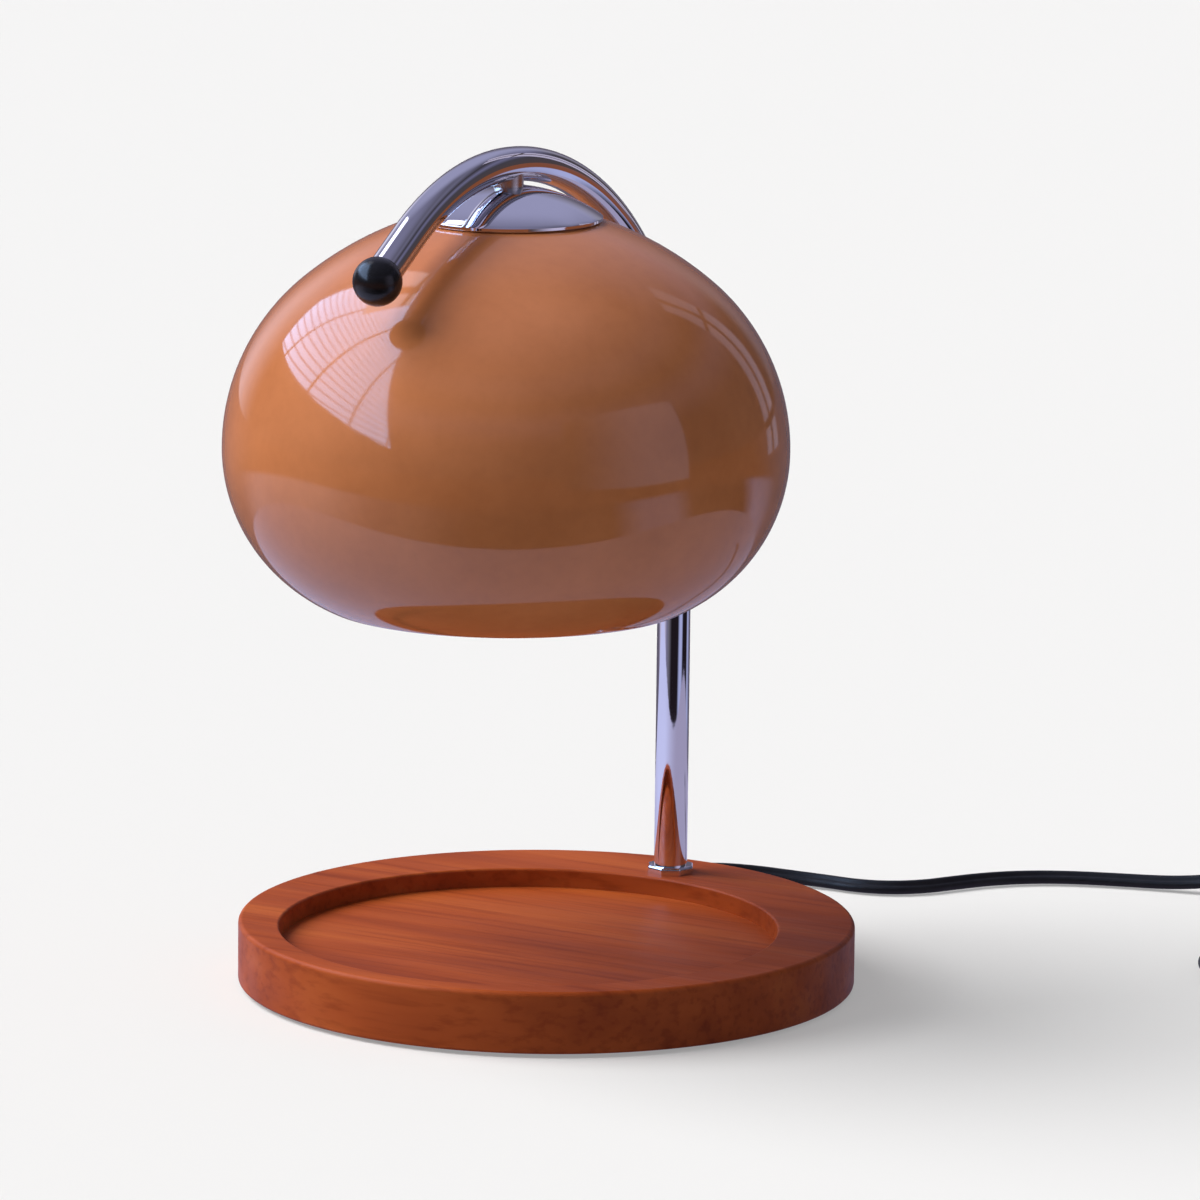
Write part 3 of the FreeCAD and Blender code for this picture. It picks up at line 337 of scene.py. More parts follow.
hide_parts("arm_collar_nut")
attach(nut, "root")


# Ball
# A gloss black ball that is pushed on a plug in the arm's tip, with a flat seat against the tube.
ball_radius = 0.00775
tip_bend = Vector((0, apex_y, arm_top - front_bend))
tip_end = tip_bend + Vector((0, -math.sin(front_turn), math.cos(front_turn))) * front_bend
tip_end += tip_run * front_straight
ball_middle = tip_end + tip_run * math.sqrt(ball_radius ** 2 - arm_radius ** 2)

bpy.ops.object.select_all(action="DESELECT")
bpy.ops.mesh.primitive_uv_sphere_add(
    segments=64, ring_count=40, radius=ball_radius, location=ball_middle
)
ball = start_piece("arm_ball")
bpy.ops.mesh.select_all(action="SELECT")
bpy.ops.mesh.bisect(plane_co=tip_end, plane_no=-tip_run, clear_outer=True, use_fill=True)
close_piece(ball, 30)
black_gloss, tree, shader = new_material("black_gloss", 0.22, ior=1.45)
tinted(tree, shader, 0.004, (0.006, 0.006, 0.008), (0.011, 0.011, 0.014))
worn(tree, shader, cloudy(tree, 0.003), 0.19, 0.26)
ball.data.materials.append(black_gloss)
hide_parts("ball_end")
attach(ball, "root")


# Shade
# A spun steel dome that narrows again to an open rim below. Outside it has a glossy orange
# brown enamel, and inside it is white. It hangs from the nipple under the arm.
shade_axis = Vector((0, -0.028, 0))
shade_radius = 0.0902
equator_z = 0.1802
shade_drop = 0.050
lower_round = 0.0549
upper_round = 0.069
upper_turn = 50
crown_round = 0.110
shade_flat = 0.024
shade_wall = 0.0012
rim_roll = 0.0005
hole_radius = 0.005


def arc_points(centre, radius, start, end, count):
    """Points of (radius, height) along an arc, with its ends given in degrees."""
    turns = [math.radians(start + (end - start) * i / count) for i in range(count + 1)]
    return [(centre[0] + radius * math.cos(a), centre[1] + radius * math.sin(a)) for a in turns]


def turned(name, outline, foot, out, along, steps):
    """Turns an outline of (radius, height) points about a line from the foot, as a lathe does."""
    places = [foot + out * radius + along * height for radius, height in outline]
    bpy.ops.object.select_all(action="DESELECT")
    bpy.ops.mesh.primitive_plane_add(size=0.001, location=places[0])
    piece = start_piece(name)
    bpy.ops.mesh.select_mode(type="VERT")
    bpy.ops.mesh.select_all(action="SELECT")
    bpy.ops.mesh.merge(type="CENTER")
    for a, b in zip(places, places[1:]):
        bpy.ops.mesh.extrude_region_move(TRANSFORM_OT_translate={"value": b - a})
    bpy.ops.mesh.select_all(action="SELECT")
    bpy.ops.mesh.remove_doubles(threshold=0.000003)
    bpy.ops.mesh.select_all(action="SELECT")
    bpy.ops.mesh.spin(steps=steps, angle=math.tau, center=foot, axis=along)
    bpy.ops.mesh.select_all(action="SELECT")
    bpy.ops.mesh.remove_doubles(threshold=0.000003)
    return piece


lower_centre = (shade_radius - lower_round, equator_z)
upper_centre = (shade_radius - upper_round, equator_z)
crown_centre = (
    upper_centre[0] + (upper_round - crown_round) * math.cos(math.radians(upper_turn)),
    upper_centre[1] + (upper_round - crown_round) * math.sin(math.radians(upper_turn)),
)
rim_turn = -math.degrees(math.asin(shade_drop / lower_round))
flat_turn = math.degrees(math.acos((shade_flat - crown_centre[0]) / crown_round))


def shade_side(depth):
    """The shade's curve from rim to crown, this deep under its outer skin."""
    side = arc_points(lower_centre, lower_round - depth, rim_turn, 0, 30)[:-1]
    side += arc_points(upper_centre, upper_round - depth, 0, upper_turn, 24)[:-1]
    return side + arc_points(crown_centre, crown_round - depth, upper_turn, flat_turn, 16)


outside = shade_side(0)
inside = shade_side(shade_wall)
crown_z = outside[-1][1]
rim_middle = (
    (outside[0][0] + inside[0][0]) / 2, (outside[0][1] + inside[0][1]) / 2 - rim_roll,
)
hole_edge = [(hole_radius, crown_z), (hole_radius, crown_z - shade_wall)]
outline = [rim_middle] + outside + hole_edge + inside[::-1] + [rim_middle]
sideways = Vector((1, 0, 0))
up = Vector((0, 0, 1))
shade = turned("enamelled_shade", outline, shade_axis, sideways, up, 192)
close_piece(shade, 40)

enamel, tree, shader = new_material("orange_brown_enamel", 0.07, ior=1.62)
clouds = toned(tree, cloudy(tree, 0.05, detail=5), [
    (0.32, (0.490, 0.168, 0.062)), (0.5, (0.540, 0.190, 0.074)), (0.68, (0.590, 0.214, 0.088)),
])
specks = toned(tree, cloudy(tree, 0.0035, detail=2), [(0.3, (0.93, 0.93, 0.93)), (0.6, (1, 1, 1))])
tree.links.new(multiplied(tree, 0.5, clouds, specks), shader.inputs["Base Color"])
worn(tree, shader, cloudy(tree, 0.03), 0.05, 0.09)
raised(tree, shader, cloudy(tree, 0.02, detail=1), 0.00006)
white_enamel, tree, shader = new_material("white_enamel", 0.25)
tinted(tree, shader, 0.03, (0.80, 0.78, 0.73), (0.84, 0.82, 0.78))
raised(tree, shader, cloudy(tree, 0.004), 0.00003)
shade.data.materials.append(enamel)
shade.data.materials.append(white_enamel)
shade_middle = shade_axis + up * equator_z
for face in shade.data.polygons:
    if face.normal.dot(face.center - shade_middle) < 0:
        face.material_index = 1
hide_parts("shade")
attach(shade, "root")


# Dome cap
# A shallow spun chrome dish that hides the shade's crown. It is clamped under the arm, and
# its thin lip stays a hair above the enamel.
cap_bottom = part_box("dome_cap")[0][2]
cap_radius = 0.030
cap_rise = 0.0095
cap_wall = 0.0008
cap_lip = 0.0012
cap_lip_round = 0.0003
cap_edge = 0.0002
cap_round = (cap_radius ** 2 + cap_rise ** 2) / (2 * cap_rise)
cap_centre = (0.0, cap_bottom + cap_lip + cap_rise - cap_round)


def cap_arc(radius, wide, narrow, count):
    """Points over the dish from its wide end to its narrow end."""
    start = math.degrees(math.acos(wide / radius))
    end = math.degrees(math.acos(narrow / radius))
    return arc_points(cap_centre, radius, start, end, count)


cap_outside = cap_arc(cap_round, cap_radius - cap_lip_round, hole_radius, 26)
cap_inside = cap_arc(cap_round - cap_wall, cap_radius - cap_wall, hole_radius, 26)
lip_top = cap_outside[0][1]
outline = [
    (cap_radius - cap_wall, cap_bottom), (cap_radius - cap_edge, cap_bottom),
    (cap_radius, cap_bottom + cap_lip_round), (cap_radius, lip_top - cap_lip_round),
] + cap_outside + cap_inside[::-1]
cap = turned("dome_cap_plate", outline + outline[:1], shade_axis, sideways, up, 128)
close_piece(cap, 32)
cap.data.materials.append(chrome)
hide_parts("dome_cap")
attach(cap, "root")


# Steel and brass fittings
# Zinc plated nuts, washers, studs, strap and screws, which carry the shade and the holder or
# hold the base together. They come from the model as they are.
steel, tree, shader = new_material("zinc_plated_steel", 0.32, metallic=1.0)
tinted(tree, shader, 0.006, (0.52, 0.53, 0.54), (0.66, 0.66, 0.65))
worn(tree, shader, cloudy(tree, 0.004), 0.25, 0.4)
raised(tree, shader, cloudy(tree, 0.0015), 0.00002)


def dress(node, material):
    """Gives a model node its finish."""
    nodes[node].data.materials.clear()
    nodes[node].data.materials.append(material)


for node in (
    "bottom_cover", "cover_screws", "arm_foot_stud", "arm_clamp_washer", "arm_clamp_nut",
    "ball_pin", "shade_nipple", "dome_spacer", "shade_washer", "holder_strap", "shade_nut",
    "holder_screws", "holder_spacers", "dimmer_screws", "wheel_axle", "bulb_pins",
):
    dress(node, steel)


# Lamp holder and bulb
# A glazed ceramic holder with two slots under the strap, and a halogen reflector bulb that
# locks into it by a short twist: ceramic foot, silvered glass reflector, clear lens.
ceramic, tree, shader = new_material("glazed_ceramic", 0.3)
shader.inputs["Coat Weight"].default_value = 0.3
shader.inputs["Coat Roughness"].default_value = 0.1
tinted(tree, shader, 0.01, (0.74, 0.72, 0.66), (0.82, 0.80, 0.75))
raised(tree, shader, cloudy(tree, 0.001), 0.00003)
dress("lamp_holder", ceramic)
dress("bulb_foot", ceramic)
mirror, tree, shader = new_material("silvered_glass", 0.12, metallic=1.0)
tinted(tree, shader, 0.012, (0.72, 0.72, 0.76), (0.86, 0.86, 0.90))
raised(tree, shader, cloudy(tree, 0.004, detail=1), 0.0002)
dress("bulb_reflector", mirror)
clear, tree, shader = new_material("clear_glass", 0.04)
shader.inputs["Transmission Weight"].default_value = 0.9
tinted(tree, shader, 0.01, (0.93, 0.94, 0.95), (0.98, 0.98, 0.98))
raised(tree, shader, cloudy(tree, 0.003, detail=1), 0.0001)
dress("bulb_lens", clear)
dress("bulb_capsule", clear)


# Wiring in the lamp
# Two sleeved wires run from the terminal block under the base through the arm to the holder.
pale_plastic, tree, shader = new_material("pale_plastic", 0.5)
tinted(tree, shader, 0.005, (0.62, 0.60, 0.54), (0.70, 0.68, 0.62))
dress("lamp_wires", pale_plastic)
dress("terminal_block", pale_plastic)


# Soft mat
# A disc of black foam rubber stuck under the steel cover, so that the lamp stands quietly.
foam, tree, shader = new_material("foam_rubber", 0.85)
grain = cloudy(tree, 0.001)
tint = toned(tree, grain, [(0.35, (0.012, 0.012, 0.012)), (0.65, (0.03, 0.03, 0.03))])
tree.links.new(tint, shader.inputs["Base Color"])
raised(tree, shader, cloudy(tree, 0.0006), 0.00015)
dress("base_mat", foam)


# Lead
# A black twin flex, two cores side by side with a groove between them, 5.2 by 2.8 mm. It leaves
# a tapered gland at the back of the base and lies on the table, rolled half on its edge.
cord_width = 0.0052
core_radius = 0.0014
core_shift = 0.0012
groove_half = 0.001
exit_turn = math.radians(100)
exit_run = Vector((math.cos(exit_turn), math.sin(exit_turn), 0))
exit_height = 0.008
gland_reach = 0.1236
gland_tip = exit_run * gland_reach + Vector((0, 0, exit_height))
dimmer_middle = Vector((0.185, 0.214, 0.008))
dimmer_turn = math.radians(-22)
dimmer_run = Vector((math.cos(dimmer_turn), math.sin(dimmer_turn), 0))
dimmer_length = 0.066
lead_route = [
    (-0.0234, 0.1329, 0.0079),
    (-0.0210, 0.1458, 0.0064),
    (-0.0120, 0.1565, 0.0046),
    (0.0010, 0.1628, 0.0031),
    (0.0130, 0.1650, 0.0027),
    (0.0245, 0.1648, 0.0027),
    (0.0355, 0.1683, 0.0027),
    (0.0446, 0.1764, 0.0027),
    (0.0505, 0.1872, 0.0027),
    (0.0575, 0.1985, 0.0027),
    (0.0675, 0.2088, 0.0027),
    (0.0810, 0.2168, 0.0027),
    (0.0970, 0.2226, 0.0027),
    (0.1140, 0.2270, 0.0030),
    (0.1290, 0.2304, 0.0050),
    (0.1424, 0.2312, 0.0079),
]
cord_rubber, tree, shader = new_material("black_flex", 0.5, ior=1.42)
tinted(tree, shader, 0.004, (0.004, 0.004, 0.005), (0.008, 0.008, 0.009))
worn(tree, shader, cloudy(tree, 0.006), 0.42, 0.58)
raised(tree, shader, cloudy(tree, 0.0008), 0.00002)


def flex(name, points, rolls):
    """Lays the twin flex along a smooth line and returns it with the points of that line."""
    data = bpy.data.curves.new(name, "CURVE")
    data.dimensions = "3D"
    data.resolution_u = 8
    data.twist_mode = "Z_UP"
    line = data.splines.new("NURBS")
    line.points.add(len(points) - 1)
    for point, place, roll in zip(line.points, points, rolls):
        point.co = (*place, 1)
        point.tilt = roll
    line.order_u = 3
    line.use_endpoint_u = True
    piece = bpy.data.objects.new(name, data)
    bpy.context.collection.objects.link(piece)
    bpy.context.view_layer.update()
    depsgraph = bpy.context.evaluated_depsgraph_get()
    bare = bpy.data.meshes.new_from_object(piece.evaluated_get(depsgraph))
    path = [tuple(v.co) for v in bare.vertices]
    bpy.data.meshes.remove(bare)
    section = bpy.data.curves.new("flex_section", "CURVE")
    section.dimensions = "2D"
    ring = section.splines.new("POLY")
    half = [
        (core_shift + core_radius * math.cos(a), core_radius * math.sin(a))
        for a in (math.radians(d) for d in range(-120, 121, 20))
    ]
    corners = half + [(0, groove_half)] + [(-x, -y) for x, y in half] + [(0, -groove_half)]
    ring.points.add(len(corners) - 1)
    for point, (x, y) in zip(ring.points, corners):
        point.co = (x, y, 0, 1)
    ring.use_cyclic_u = True
    outline_piece = bpy.data.objects.new("flex_section", section)
    bpy.context.collection.objects.link(outline_piece)
    data.bevel_mode = "OBJECT"
    data.bevel_object = outline_piece
    data.use_fill_caps = True
    bpy.ops.object.select_all(action="DESELECT")
    piece.select_set(True)
    bpy.context.view_layer.objects.active = piece
    bpy.ops.object.convert(target="MESH")
    piece = bpy.context.object
    bpy.data.objects.remove(outline_piece)
    bpy.ops.object.mode_set(mode="EDIT")
    bpy.ops.mesh.select_all(action="SELECT")
    bpy.ops.mesh.remove_doubles(threshold=0.00001)
    bpy.ops.mesh.normals_make_consistent(inside=False)
    bpy.ops.object.mode_set(mode="OBJECT")
    bpy.ops.object.shade_smooth_by_angle(angle=math.radians(50))
    piece.data.materials.clear()
    piece.data.materials.append(cord_rubber)
    return piece, path


def rolls_along(count, start, swing):
    """The flex rolls a little to and fro as it lies."""
    return [math.radians(start + swing * math.sin(0.9 * i)) for i in range(count)]


dimmer_start = dimmer_middle - dimmer_run * dimmer_length / 2
dimmer_end = dimmer_middle + dimmer_run * dimmer_length / 2
lead_points = [tuple(gland_tip)] + lead_route + [tuple(dimmer_start)]
lead, lead_path = flex("flex_lead", lead_points, rolls_along(len(lead_points), 40, 6))
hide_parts("cord_lead")
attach(lead, "root")
dress("inner_lead", cord_rubber)


# Gland
# A soft black sleeve moulded on the lead where it leaves the base: a flange against the wood
# and a long taper with six grooves, so that it bends with the lead.
gland_start = base_radius - 0.016
flange_start = base_radius
flange_end = base_radius + 0.0016
taper_end = flange_end + 0.022
stem_radius = 0.0038
flange_radius = 0.0055
taper_radius = 0.0043
tip_radius = 0.0032
edge_round = 0.0005
tip_round = 0.0006
groove_count = 6
groove_pitch = 0.0032
groove_depth = 0.0006
groove_start = flange_end + 0.0012
groove_shape = ((0.0, 0), (0.0004, groove_depth), (0.0012, groove_depth), (0.0016, 0))
outline = [
    (0, gland_start), (stem_radius, gland_start), (stem_radius, flange_start),
    (flange_radius, flange_start), (flange_radius, flange_end - edge_round),
    (flange_radius - edge_round, flange_end), (taper_radius, flange_end),
]
for i in range(groove_count):
    for shift, depth in groove_shape:
        height = groove_start + i * groove_pitch + shift
        share = (height - flange_end) / (taper_end - flange_end)
        outline.append((taper_radius + (tip_radius - taper_radius) * share - depth, height))
outline += [
    (tip_radius, taper_end - tip_round), (tip_radius - edge_round, taper_end), (0, taper_end),
]
gland = turned("lead_gland", outline, up * exit_height, up, exit_run, 48)
close_piece(gland, 30)
gland.data.materials.append(cord_rubber)
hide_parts("cord_gland")
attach(gland, "root")


# Put-away coil
# The rest of the lead: a short link from the dimmer, seven turns in two layers held by a
# strap, and a tail to the plug. It lies on the table outside the picture.
coil_centre = (0.208, 0.146)
coil_pitch = 0.0057
coil_turns = 7.0833
coil_climb = 0.5
coil_mean = 0.031
coil_inner = coil_mean - coil_pitch * coil_turns / 4
table_gap = 0.00005
coil_low = cord_width / 2 + table_gap
points_per_turn = 14
link_route = [
    (0.2260, 0.1974, 0.0074),
    (0.2370, 0.1916, 0.0058),
    (0.2456, 0.1828, 0.0043),
    (0.2500, 0.1720, 0.0032),
    (0.2504, 0.1610, 0.0028),
]
tail_route = [
    (0.2366, 0.1115, 0.0083),
    (0.2352, 0.1012, 0.00825),
    (0.2354, 0.0910, 0.00825),
]


def coil_place(turn):
    """Place on the coil after so many turns: in along the low layer and out along the top one."""
    from_middle = turn - coil_turns / 2
    radius = coil_inner + coil_pitch * abs(from_middle)
    share = min(max(0.5 + from_middle / coil_climb, 0.0), 1.0)
    z = coil_low + coil_pitch * share * share * (3 - 2 * share)
    a = -turn * math.tau
    return coil_centre[0] + radius * math.cos(a), coil_centre[1] + radius * math.sin(a), z


coil_steps = round(coil_turns * points_per_turn)
coil_points = [coil_place(coil_turns * i / coil_steps) for i in range(coil_steps + 1)]
rest_points = [tuple(dimmer_end)] + link_route + coil_points + tail_route
rest, rest_path = flex("flex_coil", rest_points, rolls_along(len(rest_points), 45, 3))
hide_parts("cord_link", "cord_coil", "cord_tail")
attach(rest, "root")
dress("coil_tie", foam)


# In-line dimmer and plug
# A two-part case of black plastic with a ribbed thumb wheel at one side, and a moulded
# plug with two flat blades.
black_plastic, tree, shader = new_material("black_plastic", 0.38)
tinted(tree, shader, 0.004, (0.011, 0.011, 0.012), (0.018, 0.018, 0.02))
raised(tree, shader, cloudy(tree, 0.0004, detail=1), 0.00005)
board_green, tree, shader = new_material("board_green", 0.4)
tinted(tree, shader, 0.003, (0.01, 0.07, 0.03), (0.02, 0.11, 0.05))
brass, tree, shader = new_material("nickelled_brass", 0.22, metallic=1.0)
tinted(tree, shader, 0.004, (0.62, 0.53, 0.36), (0.74, 0.64, 0.45))
raised(tree, shader, cloudy(tree, 0.001), 0.00002)
for node in ("dimmer_lower_case", "dimmer_upper_case", "dimmer_wheel", "plug_body"):
    dress(node, black_plastic)
dress("dimmer_board", board_green)
dress("plug_blades", brass)
on_lead = [nodes[n] for n in (
    "dimmer_lower_case", "dimmer_upper_case", "dimmer_wheel", "dimmer_screws", "wheel_axle",
    "dimmer_board",
)]
on_rest = [nodes[n] for n in ("plug_body", "plug_blades", "coil_tie")]

# All that lies outside the picture is also kept out of the gloss, where it would read as a
# dark spot on the shade.
for out_of_view in (rest, *on_lead, *on_rest):
    out_of_view.visible_glossy = False


# Floor
# A plain pale table top. In the gloss of the lamp only an oval of it round the lamp is pale,
# as the table in the photograph ends a hand's breadth in front of the base. What lies beyond
# is dark, with a pale strip at the left and one at the right, and brown farther off.
table_centre = (-0.03, 0.0)
table_reach = (0.50, 0.29)
backdrop_tone = (0.887, 0.887, 0.887, 1)
floor_tone = (0.8, 0.8, 0.8, 1)
floor_bounce = (0.42, 0.42, 0.42, 1)
floor_lift = 0.32
pale_room = (0.62, 0.57, 0.76)
table_left = (0.62, 0.64, 0.96)
table_right = (0.38, 0.35, 0.52)
dim_room = (0.13, 0.115, 0.16)
dark_room = (0.075, 0.055, 0.055)
black_room = (0.014, 0.010, 0.014)
brown_room = (0.24, 0.075, 0.032)
pale_strip = (0.42, 0.45, 0.74)
bpy.ops.object.select_all(action="DESELECT")
bpy.ops.mesh.primitive_plane_add(size=30)
floor = bpy.context.object
floor.name = "floor"
floor_paint = bpy.data.materials.new("floor_paint")
floor_paint.use_nodes = True
tree = floor_paint.node_tree
tree.nodes.clear()
output = tree.nodes.new("ShaderNodeOutputMaterial")
ray = tree.nodes.new("ShaderNodeLightPath")
matte = tree.nodes.new("ShaderNodeBsdfDiffuse")
tone = tree.nodes.new("ShaderNodeMix")
tone.data_type = "RGBA"
tone.inputs["A"].default_value = floor_bounce
tone.inputs["B"].default_value = floor_tone
tree.links.new(ray.outputs["Is Camera Ray"], tone.inputs["Factor"])
tree.links.new(tone.outputs["Result"], matte.inputs["Color"])
lift = tree.nodes.new("ShaderNodeEmission")
lift.inputs["Color"].default_value = backdrop_tone
lift_share = tree.nodes.new("ShaderNodeMath")
lift_share.operation = "MULTIPLY"
lift_share.inputs[1].default_value = floor_lift
lifted = tree.nodes.new("ShaderNodeMixShader")
tree.links.new(ray.outputs["Is Camera Ray"], lift_share.inputs[0])
tree.links.new(lift_share.outputs["Value"], lifted.inputs["Fac"])
tree.links.new(matte.outputs["BSDF"], lifted.inputs[1])
tree.links.new(lift.outputs["Emission"], lifted.inputs[2])


def node_range(tree, source, low, high):
    """Goes from 0 to 1 while the source goes from low to high."""
    rise = tree.nodes.new("ShaderNodeMapRange")
    rise.interpolation_type = "SMOOTHSTEP"
    rise.inputs["From Min"].default_value = low
    rise.inputs["From Max"].default_value = high
    tree.links.new(source, rise.inputs["Value"])
    return rise.outputs["Result"]


def mixed_by(tree, amount, first, second):
    """Goes from the first colour to the second by an amount that varies."""
    mix = tree.nodes.new("ShaderNodeMix")
    mix.data_type = "RGBA"
    tree.links.new(amount, mix.inputs["Factor"])
    for socket, colour in (("A", first), ("B", second)):
        if isinstance(colour, tuple):
            mix.inputs[socket].default_value = (*colour, 1)
        else:
            tree.links.new(colour, mix.inputs[socket])
    return mix.outputs["Result"]


place = tree.nodes.new("ShaderNodeTexCoord")
oval = tree.nodes.new("ShaderNodeMapping")
oval.vector_type = "TEXTURE"
oval.inputs["Location"].default_value = (*table_centre, 0)
oval.inputs["Rotation"].default_value = (0, 0, camera_azimuth)
oval.inputs["Scale"].default_value = (*table_reach, 1)
reach = tree.nodes.new("ShaderNodeVectorMath")
reach.operation = "LENGTH"
heading = tree.nodes.new("ShaderNodeVectorMath")
heading.operation = "NORMALIZE"
parts = tree.nodes.new("ShaderNodeSeparateXYZ")
tree.links.new(place.outputs["Object"], oval.inputs["Vector"])
tree.links.new(oval.outputs["Vector"], reach.inputs[0])
tree.links.new(oval.outputs["Vector"], heading.inputs[0])
tree.links.new(heading.outputs["Vector"], parts.inputs["Vector"])
from_left = tree.nodes.new("ShaderNodeMath")
from_left.operation = "MULTIPLY_ADD"
from_left.inputs[1].default_value = 0.5
from_left.inputs[2].default_value = 0.5
tree.links.new(parts.outputs["X"], from_left.inputs[0])
far = toned(tree, from_left.outputs["Value"], [
    (0.075, pale_room), (0.225, (0.20, 0.19, 0.30)), (0.34, (0.16, 0.15, 0.19)), (0.46, black_room),
    (0.72, black_room), (0.80, pale_strip), (0.90, pale_strip), (0.955, black_room),
])
far = mixed_by(tree, node_range(tree, reach.outputs["Value"], 2.0, 2.5), far, brown_room)
far = mixed_by(tree, node_range(tree, parts.outputs["Y"], 0.6, 0.95), far, dim_room)
table = mixed_by(tree, node_range(tree, parts.outputs["X"], -0.7, 0.6), table_left, table_right)
table_edge = node_range(tree, reach.outputs["Value"], 0.985, 1.015)
floor_seen = mixed_by(tree, table_edge, table, far)
# For gloss rays the floor drops its matte paint and glows in these colours: a painted room of pale
# table, strips and dark, seen only in reflections.
glow = tree.nodes.new("ShaderNodeEmission")
tree.links.new(floor_seen, glow.inputs["Color"])
choice = tree.nodes.new("ShaderNodeMixShader")
tree.links.new(ray.outputs["Is Glossy Ray"], choice.inputs["Fac"])
tree.links.new(lifted.outputs["Shader"], choice.inputs[1])
tree.links.new(glow.outputs["Emission"], choice.inputs[2])
tree.links.new(choice.outputs["Shader"], output.inputs["Surface"])
floor.data.materials.append(floor_paint)


# Studio light
# One broad soft lamp from the left, an even sky for the shadows, and four glowing cards that
# only the gloss sees: a big slatted window and a narrow skylight on the left, a pale screen
# on the right and a doorway at the back.
def direction(azimuth, height):
    """Unit vector to a place in the room; azimuth 0 is in front of the lamp, 90 at its right."""
    side = math.radians(azimuth)
    rise = math.radians(height)
    return Vector((
        math.sin(side) * math.cos(rise), -math.cos(side) * math.cos(rise), math.sin(rise),
    ))


key_from = direction(-66, 47)
key_strength = 4.05
key_spread = math.radians(50)
sky_tone = (0.225, 0.228, 0.24, 1)
sun_data = bpy.data.lights.new("key", "SUN")
sun_data.energy = key_strength
sun_data.angle = key_spread
sun_data.color = (1.0, 0.985, 0.97)
key = bpy.data.objects.new("key", sun_data)
bpy.context.collection.objects.link(key)
key.rotation_mode = "QUATERNION"
key.rotation_quaternion = key_from.to_track_quat("Z", "Y")
key.visible_glossy = False

world = bpy.data.worlds.new("studio")
bpy.context.scene.world = world
world.use_nodes = True
tree = world.node_tree
tree.nodes.clear()
output = tree.nodes.new("ShaderNodeOutputWorld")
ray = tree.nodes.new("ShaderNodeLightPath")
place = tree.nodes.new("ShaderNodeTexCoord")
parts = tree.nodes.new("ShaderNodeSeparateXYZ")
tree.links.new(place.outputs["Generated"], parts.inputs["Vector"])


def nearness(toward, low, high):
    """How near a direction of the room is to this one."""
    likeness = tree.nodes.new("ShaderNodeVectorMath")
    likeness.operation = "DOT_PRODUCT"
    likeness.inputs[1].default_value = toward
    tree.links.new(place.outputs["Generated"], likeness.inputs[0])
    return node_range(tree, likeness.outputs["Value"], low, high)


room = toned(tree, parts.outputs["Z"], [
    (0.0, dark_room), (0.3, (0.06, 0.055, 0.07)), (0.45, (0.16, 0.155, 0.26)),
    (0.6, (0.045, 0.04, 0.05)), (0.74, (0.15, 0.145, 0.22)), (0.84, (0.12, 0.115, 0.17)),
    (1.0, (0.20, 0.195, 0.31)),
])
room = mixed_by(tree, nearness(direction(-138, 4), 0.74, 0.98), room, (1.0, 0.98, 1.2))
behind = math.degrees(camera_azimuth) + 180
room = mixed_by(tree, nearness(direction(behind, 44), 0.8, 0.97), room, (0.34, 0.34, 0.52))
room = mixed_by(tree, nearness(direction(behind, 0), 0.84, 0.98), room, dim_room)
sky = tree.nodes.new("ShaderNodeBackground")
sky.inputs["Color"].default_value = sky_tone
seen = tree.nodes.new("ShaderNodeBackground")
seen.inputs["Color"].default_value = backdrop_tone
gloss = tree.nodes.new("ShaderNodeBackground")
tree.links.new(room, gloss.inputs["Color"])
first = tree.nodes.new("ShaderNodeMixShader")
second = tree.nodes.new("ShaderNodeMixShader")
tree.links.new(ray.outputs["Is Glossy Ray"], first.inputs["Fac"])
tree.links.new(sky.outputs["Background"], first.inputs[1])
tree.links.new(gloss.outputs["Background"], first.inputs[2])
tree.links.new(ray.outputs["Is Camera Ray"], second.inputs["Fac"])
tree.links.new(first.outputs["Shader"], second.inputs[1])
tree.links.new(seen.outputs["Background"], second.inputs[2])
tree.links.new(second.outputs["Shader"], output.inputs["Surface"])


def glowing_card(name, azimuth, distance, corners):
    """An upright card that only the gloss sees; returns its paint and its flat pattern place."""
    turn = math.radians(azimuth)
    ahead = direction(azimuth, 0)
    aside = Vector((math.cos(turn), math.sin(turn), 0))
    middle = shade_middle + ahead * distance
    bpy.ops.object.select_all(action="DESELECT")
    bpy.ops.mesh.primitive_circle_add(vertices=len(corners), radius=1, fill_type="NGON")
    card = bpy.context.object
    card.name = name
    for corner, (side, height) in zip(card.data.vertices, corners):
        corner.co = middle + aside * side + up * height
    card.visible_camera = False
    card.visible_diffuse = False
    card.visible_shadow = False
    card.visible_transmission = False
    paint = bpy.data.materials.new(name)
    paint.use_nodes = True
    tree = paint.node_tree
    tree.nodes.clear()
    card.data.materials.append(paint)
    place = tree.nodes.new("ShaderNodeTexCoord")
    turned_back = tree.nodes.new("ShaderNodeMapping")
    turned_back.vector_type = "TEXTURE"
    turned_back.inputs["Location"].default_value = middle
    turned_back.inputs["Rotation"].default_value = (math.radians(90), 0, turn)
    tree.links.new(place.outputs["Object"], turned_back.inputs["Vector"])
    return tree, turned_back.outputs["Vector"]


def lit(tree, colour, strength):
    """Makes the card glow in a colour that varies over it."""
    output = tree.nodes.new("ShaderNodeOutputMaterial")
    glow = tree.nodes.new("ShaderNodeEmission")
    glow.inputs["Strength"].default_value = strength
    tree.links.new(colour, glow.inputs["Color"])
    tree.links.new(glow.outputs["Emission"], output.inputs["Surface"])


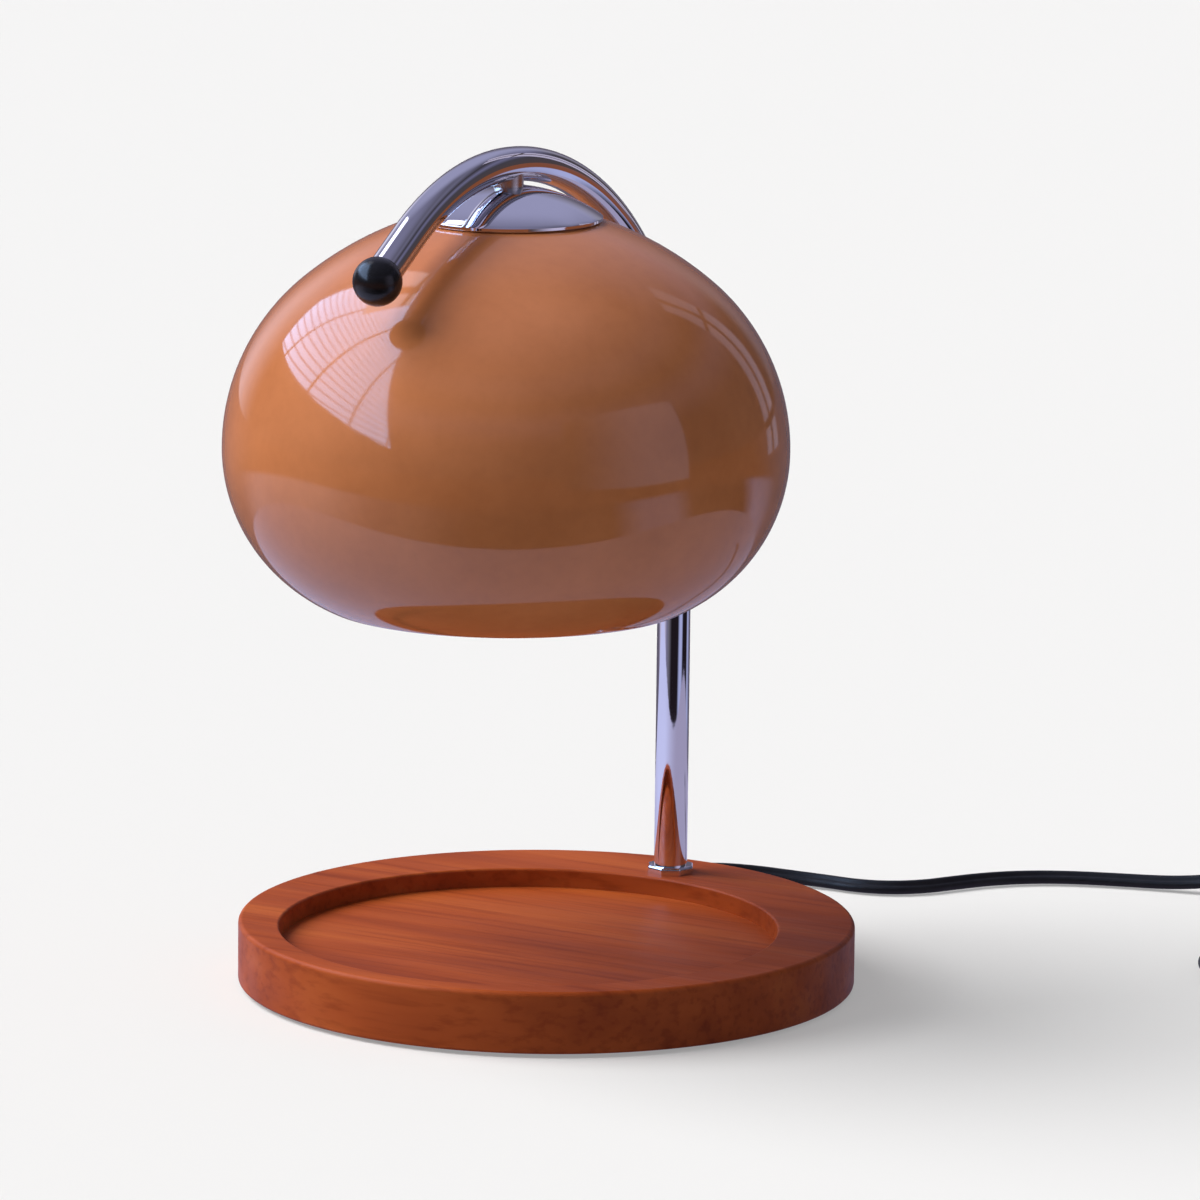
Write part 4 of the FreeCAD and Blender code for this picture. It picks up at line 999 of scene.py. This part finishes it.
def bars(tree, place, width, height, thickness, pane, bar):
    """Panes of this width and height with bars between them."""
    panes = tree.nodes.new("ShaderNodeTexBrick")
    panes.offset = 0.0
    panes.inputs["Color1"].default_value = (*pane, 1)
    panes.inputs["Color2"].default_value = (*pane, 1)
    panes.inputs["Mortar"].default_value = (*bar, 1)
    panes.inputs["Scale"].default_value = 1.0
    panes.inputs["Mortar Size"].default_value = thickness
    panes.inputs["Mortar Smooth"].default_value = 0.3
    panes.inputs["Brick Width"].default_value = width
    panes.inputs["Row Height"].default_value = height
    tree.links.new(place, panes.inputs["Vector"])
    return panes.outputs["Color"]


window_corners = [(-1.20, 0.72), (1.84, 0.47), (0.55, 2.7), (-1.2, 3.7), (-1.75, 1.38)]
tree, place = glowing_card("window", -65, 1.6, window_corners)
slats = bars(tree, place, 8.0, 0.105, 0.014, (0.43, 0.62, 0.97), (0.18, 0.21, 0.33))
frames = bars(tree, place, 0.86, 9.0, 0.026, (1, 1, 1), (0.10, 0.07, 0.06))
lit(tree, multiplied(tree, 1.0, slats, frames), 6.4)
screen_corners = [(-0.75, -0.45), (0.85, -0.45), (0.85, 0.9), (-0.75, 0.9)]
tree, place = glowing_card("screen", 80, 1.6, screen_corners)
across_card = tree.nodes.new("ShaderNodeSeparateXYZ")
tree.links.new(place, across_card.inputs["Vector"])
rise = node_range(tree, across_card.outputs["X"], -0.75, 0.35)
lit(tree, mixed_by(tree, rise, dark_room, (0.72, 0.66, 0.92)), 0.75)
skylight_corners = [(-0.22, 1.05), (0.22, 1.05), (0.2, 2.2), (-0.2, 2.2)]
tree, place = glowing_card("skylight", -100, 0.9, skylight_corners)
lit(tree, bars(tree, place, 0.4, 0.8, 0.05, (0.85, 0.85, 1.0), dark_room), 2.2)
doorway_corners = [(-0.17, -0.7), (0.17, -0.7), (0.17, 1.5), (-0.17, 1.5)]
tree, place = glowing_card("doorway", 166, 1.6, doorway_corners)
lit(tree, bars(tree, place, 0.9, 0.9, 0.03, pale_room, dark_room), 0.8)
